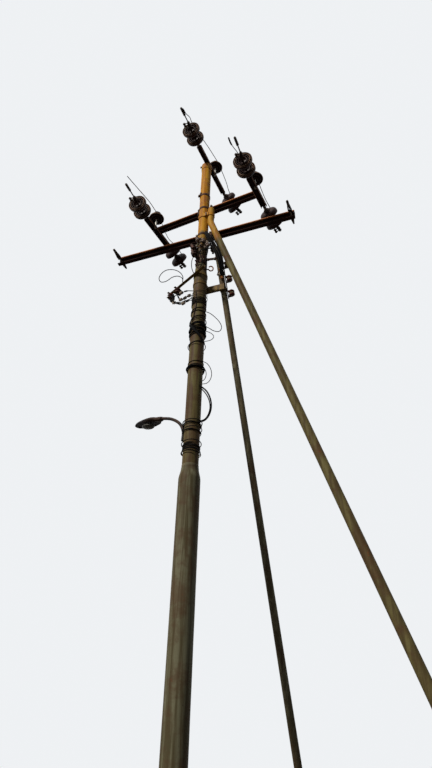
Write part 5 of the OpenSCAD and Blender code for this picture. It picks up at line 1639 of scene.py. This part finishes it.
def two_ways(tree, seen_by, unseen, seen, output):
    """Gives the rays that seen_by picks one shader and all the others another."""
    mixed = add_node(tree, "ShaderNodeMixShader", Fac=seen_by)
    put(tree, unseen, mixed.inputs[1])
    put(tree, seen, mixed.inputs[2])
    add_node(tree, output, Surface=mixed.outputs["Shader"])


def make_floor():
    """Plain floor that looks pale to the camera and throws little light back up."""
    mesh = bpy.data.meshes.new("floor")
    reach = 60.0
    corners = [(-reach, -reach, 0), (reach, -reach, 0), (reach, reach, 0), (-reach, reach, 0)]
    mesh.from_pydata(corners, [], [(0, 1, 2, 3)])
    floor = bpy.data.objects.new("floor", mesh)
    floor.location.z = -0.002
    bpy.context.scene.collection.objects.link(floor)
    material = bpy.data.materials.new("floor")
    material.use_nodes = True
    tree = material.node_tree
    tree.nodes.clear()
    pale = add_node(tree, "ShaderNodeBsdfDiffuse", Color=(0.8, 0.8, 0.79, 1))
    felt = add_node(tree, "ShaderNodeBsdfDiffuse", Color=(0.11, 0.1, 0.09, 1))
    rays = add_node(tree, "ShaderNodeLightPath")
    two_ways(tree, rays.outputs["Is Camera Ray"], felt.outputs["BSDF"], pale.outputs["BSDF"],
             "ShaderNodeOutputMaterial")
    mesh.materials.append(material)


def make_light():
    """Pale surroundings for what is seen or mirrored, soft dim light from them, and two suns."""
    world = bpy.data.worlds.new("studio")
    world.use_nodes = True
    bpy.context.scene.world = world
    tree = world.node_tree
    tree.nodes.clear()
    pale = add_node(tree, "ShaderNodeBackground", Color=(0.86, 0.88, 0.9, 1))
    light = add_node(tree, "ShaderNodeBackground", Color=(0.8, 0.88, 1.0, 1), Strength=0.2)
    rays = add_node(tree, "ShaderNodeLightPath")
    seen_by = rays.outputs["Is Camera Ray"]
    for kind in ("Is Glossy Ray", "Is Transmission Ray"):
        seen_by = calculated(tree, "MAXIMUM", seen_by, rays.outputs[kind])
    two_ways(tree, seen_by, light.outputs["Background"], pale.outputs["Background"], "ShaderNodeOutputWorld")
    for name, energy, spread, colour, towards in (
            ("key", 3.5, 6, (1.0, 0.95, 0.87), (-0.35, -0.68, 0.64)),
            ("fill", 0.22, 50, (1.0, 0.97, 0.93), (-0.5, -0.8, -0.1))):
        data = bpy.data.lights.new(name, "SUN")
        data.energy = energy
        data.angle = math.radians(spread)
        data.color = colour
        sun = bpy.data.objects.new(name, data)
        sun.rotation_euler = Vector(towards).to_track_quat("Z", "Y").to_euler()
        bpy.context.scene.collection.objects.link(sun)


make_floor()
make_light()
bpy.context.scene.view_settings.view_transform = "Standard"

bpy.context.view_layer.update()
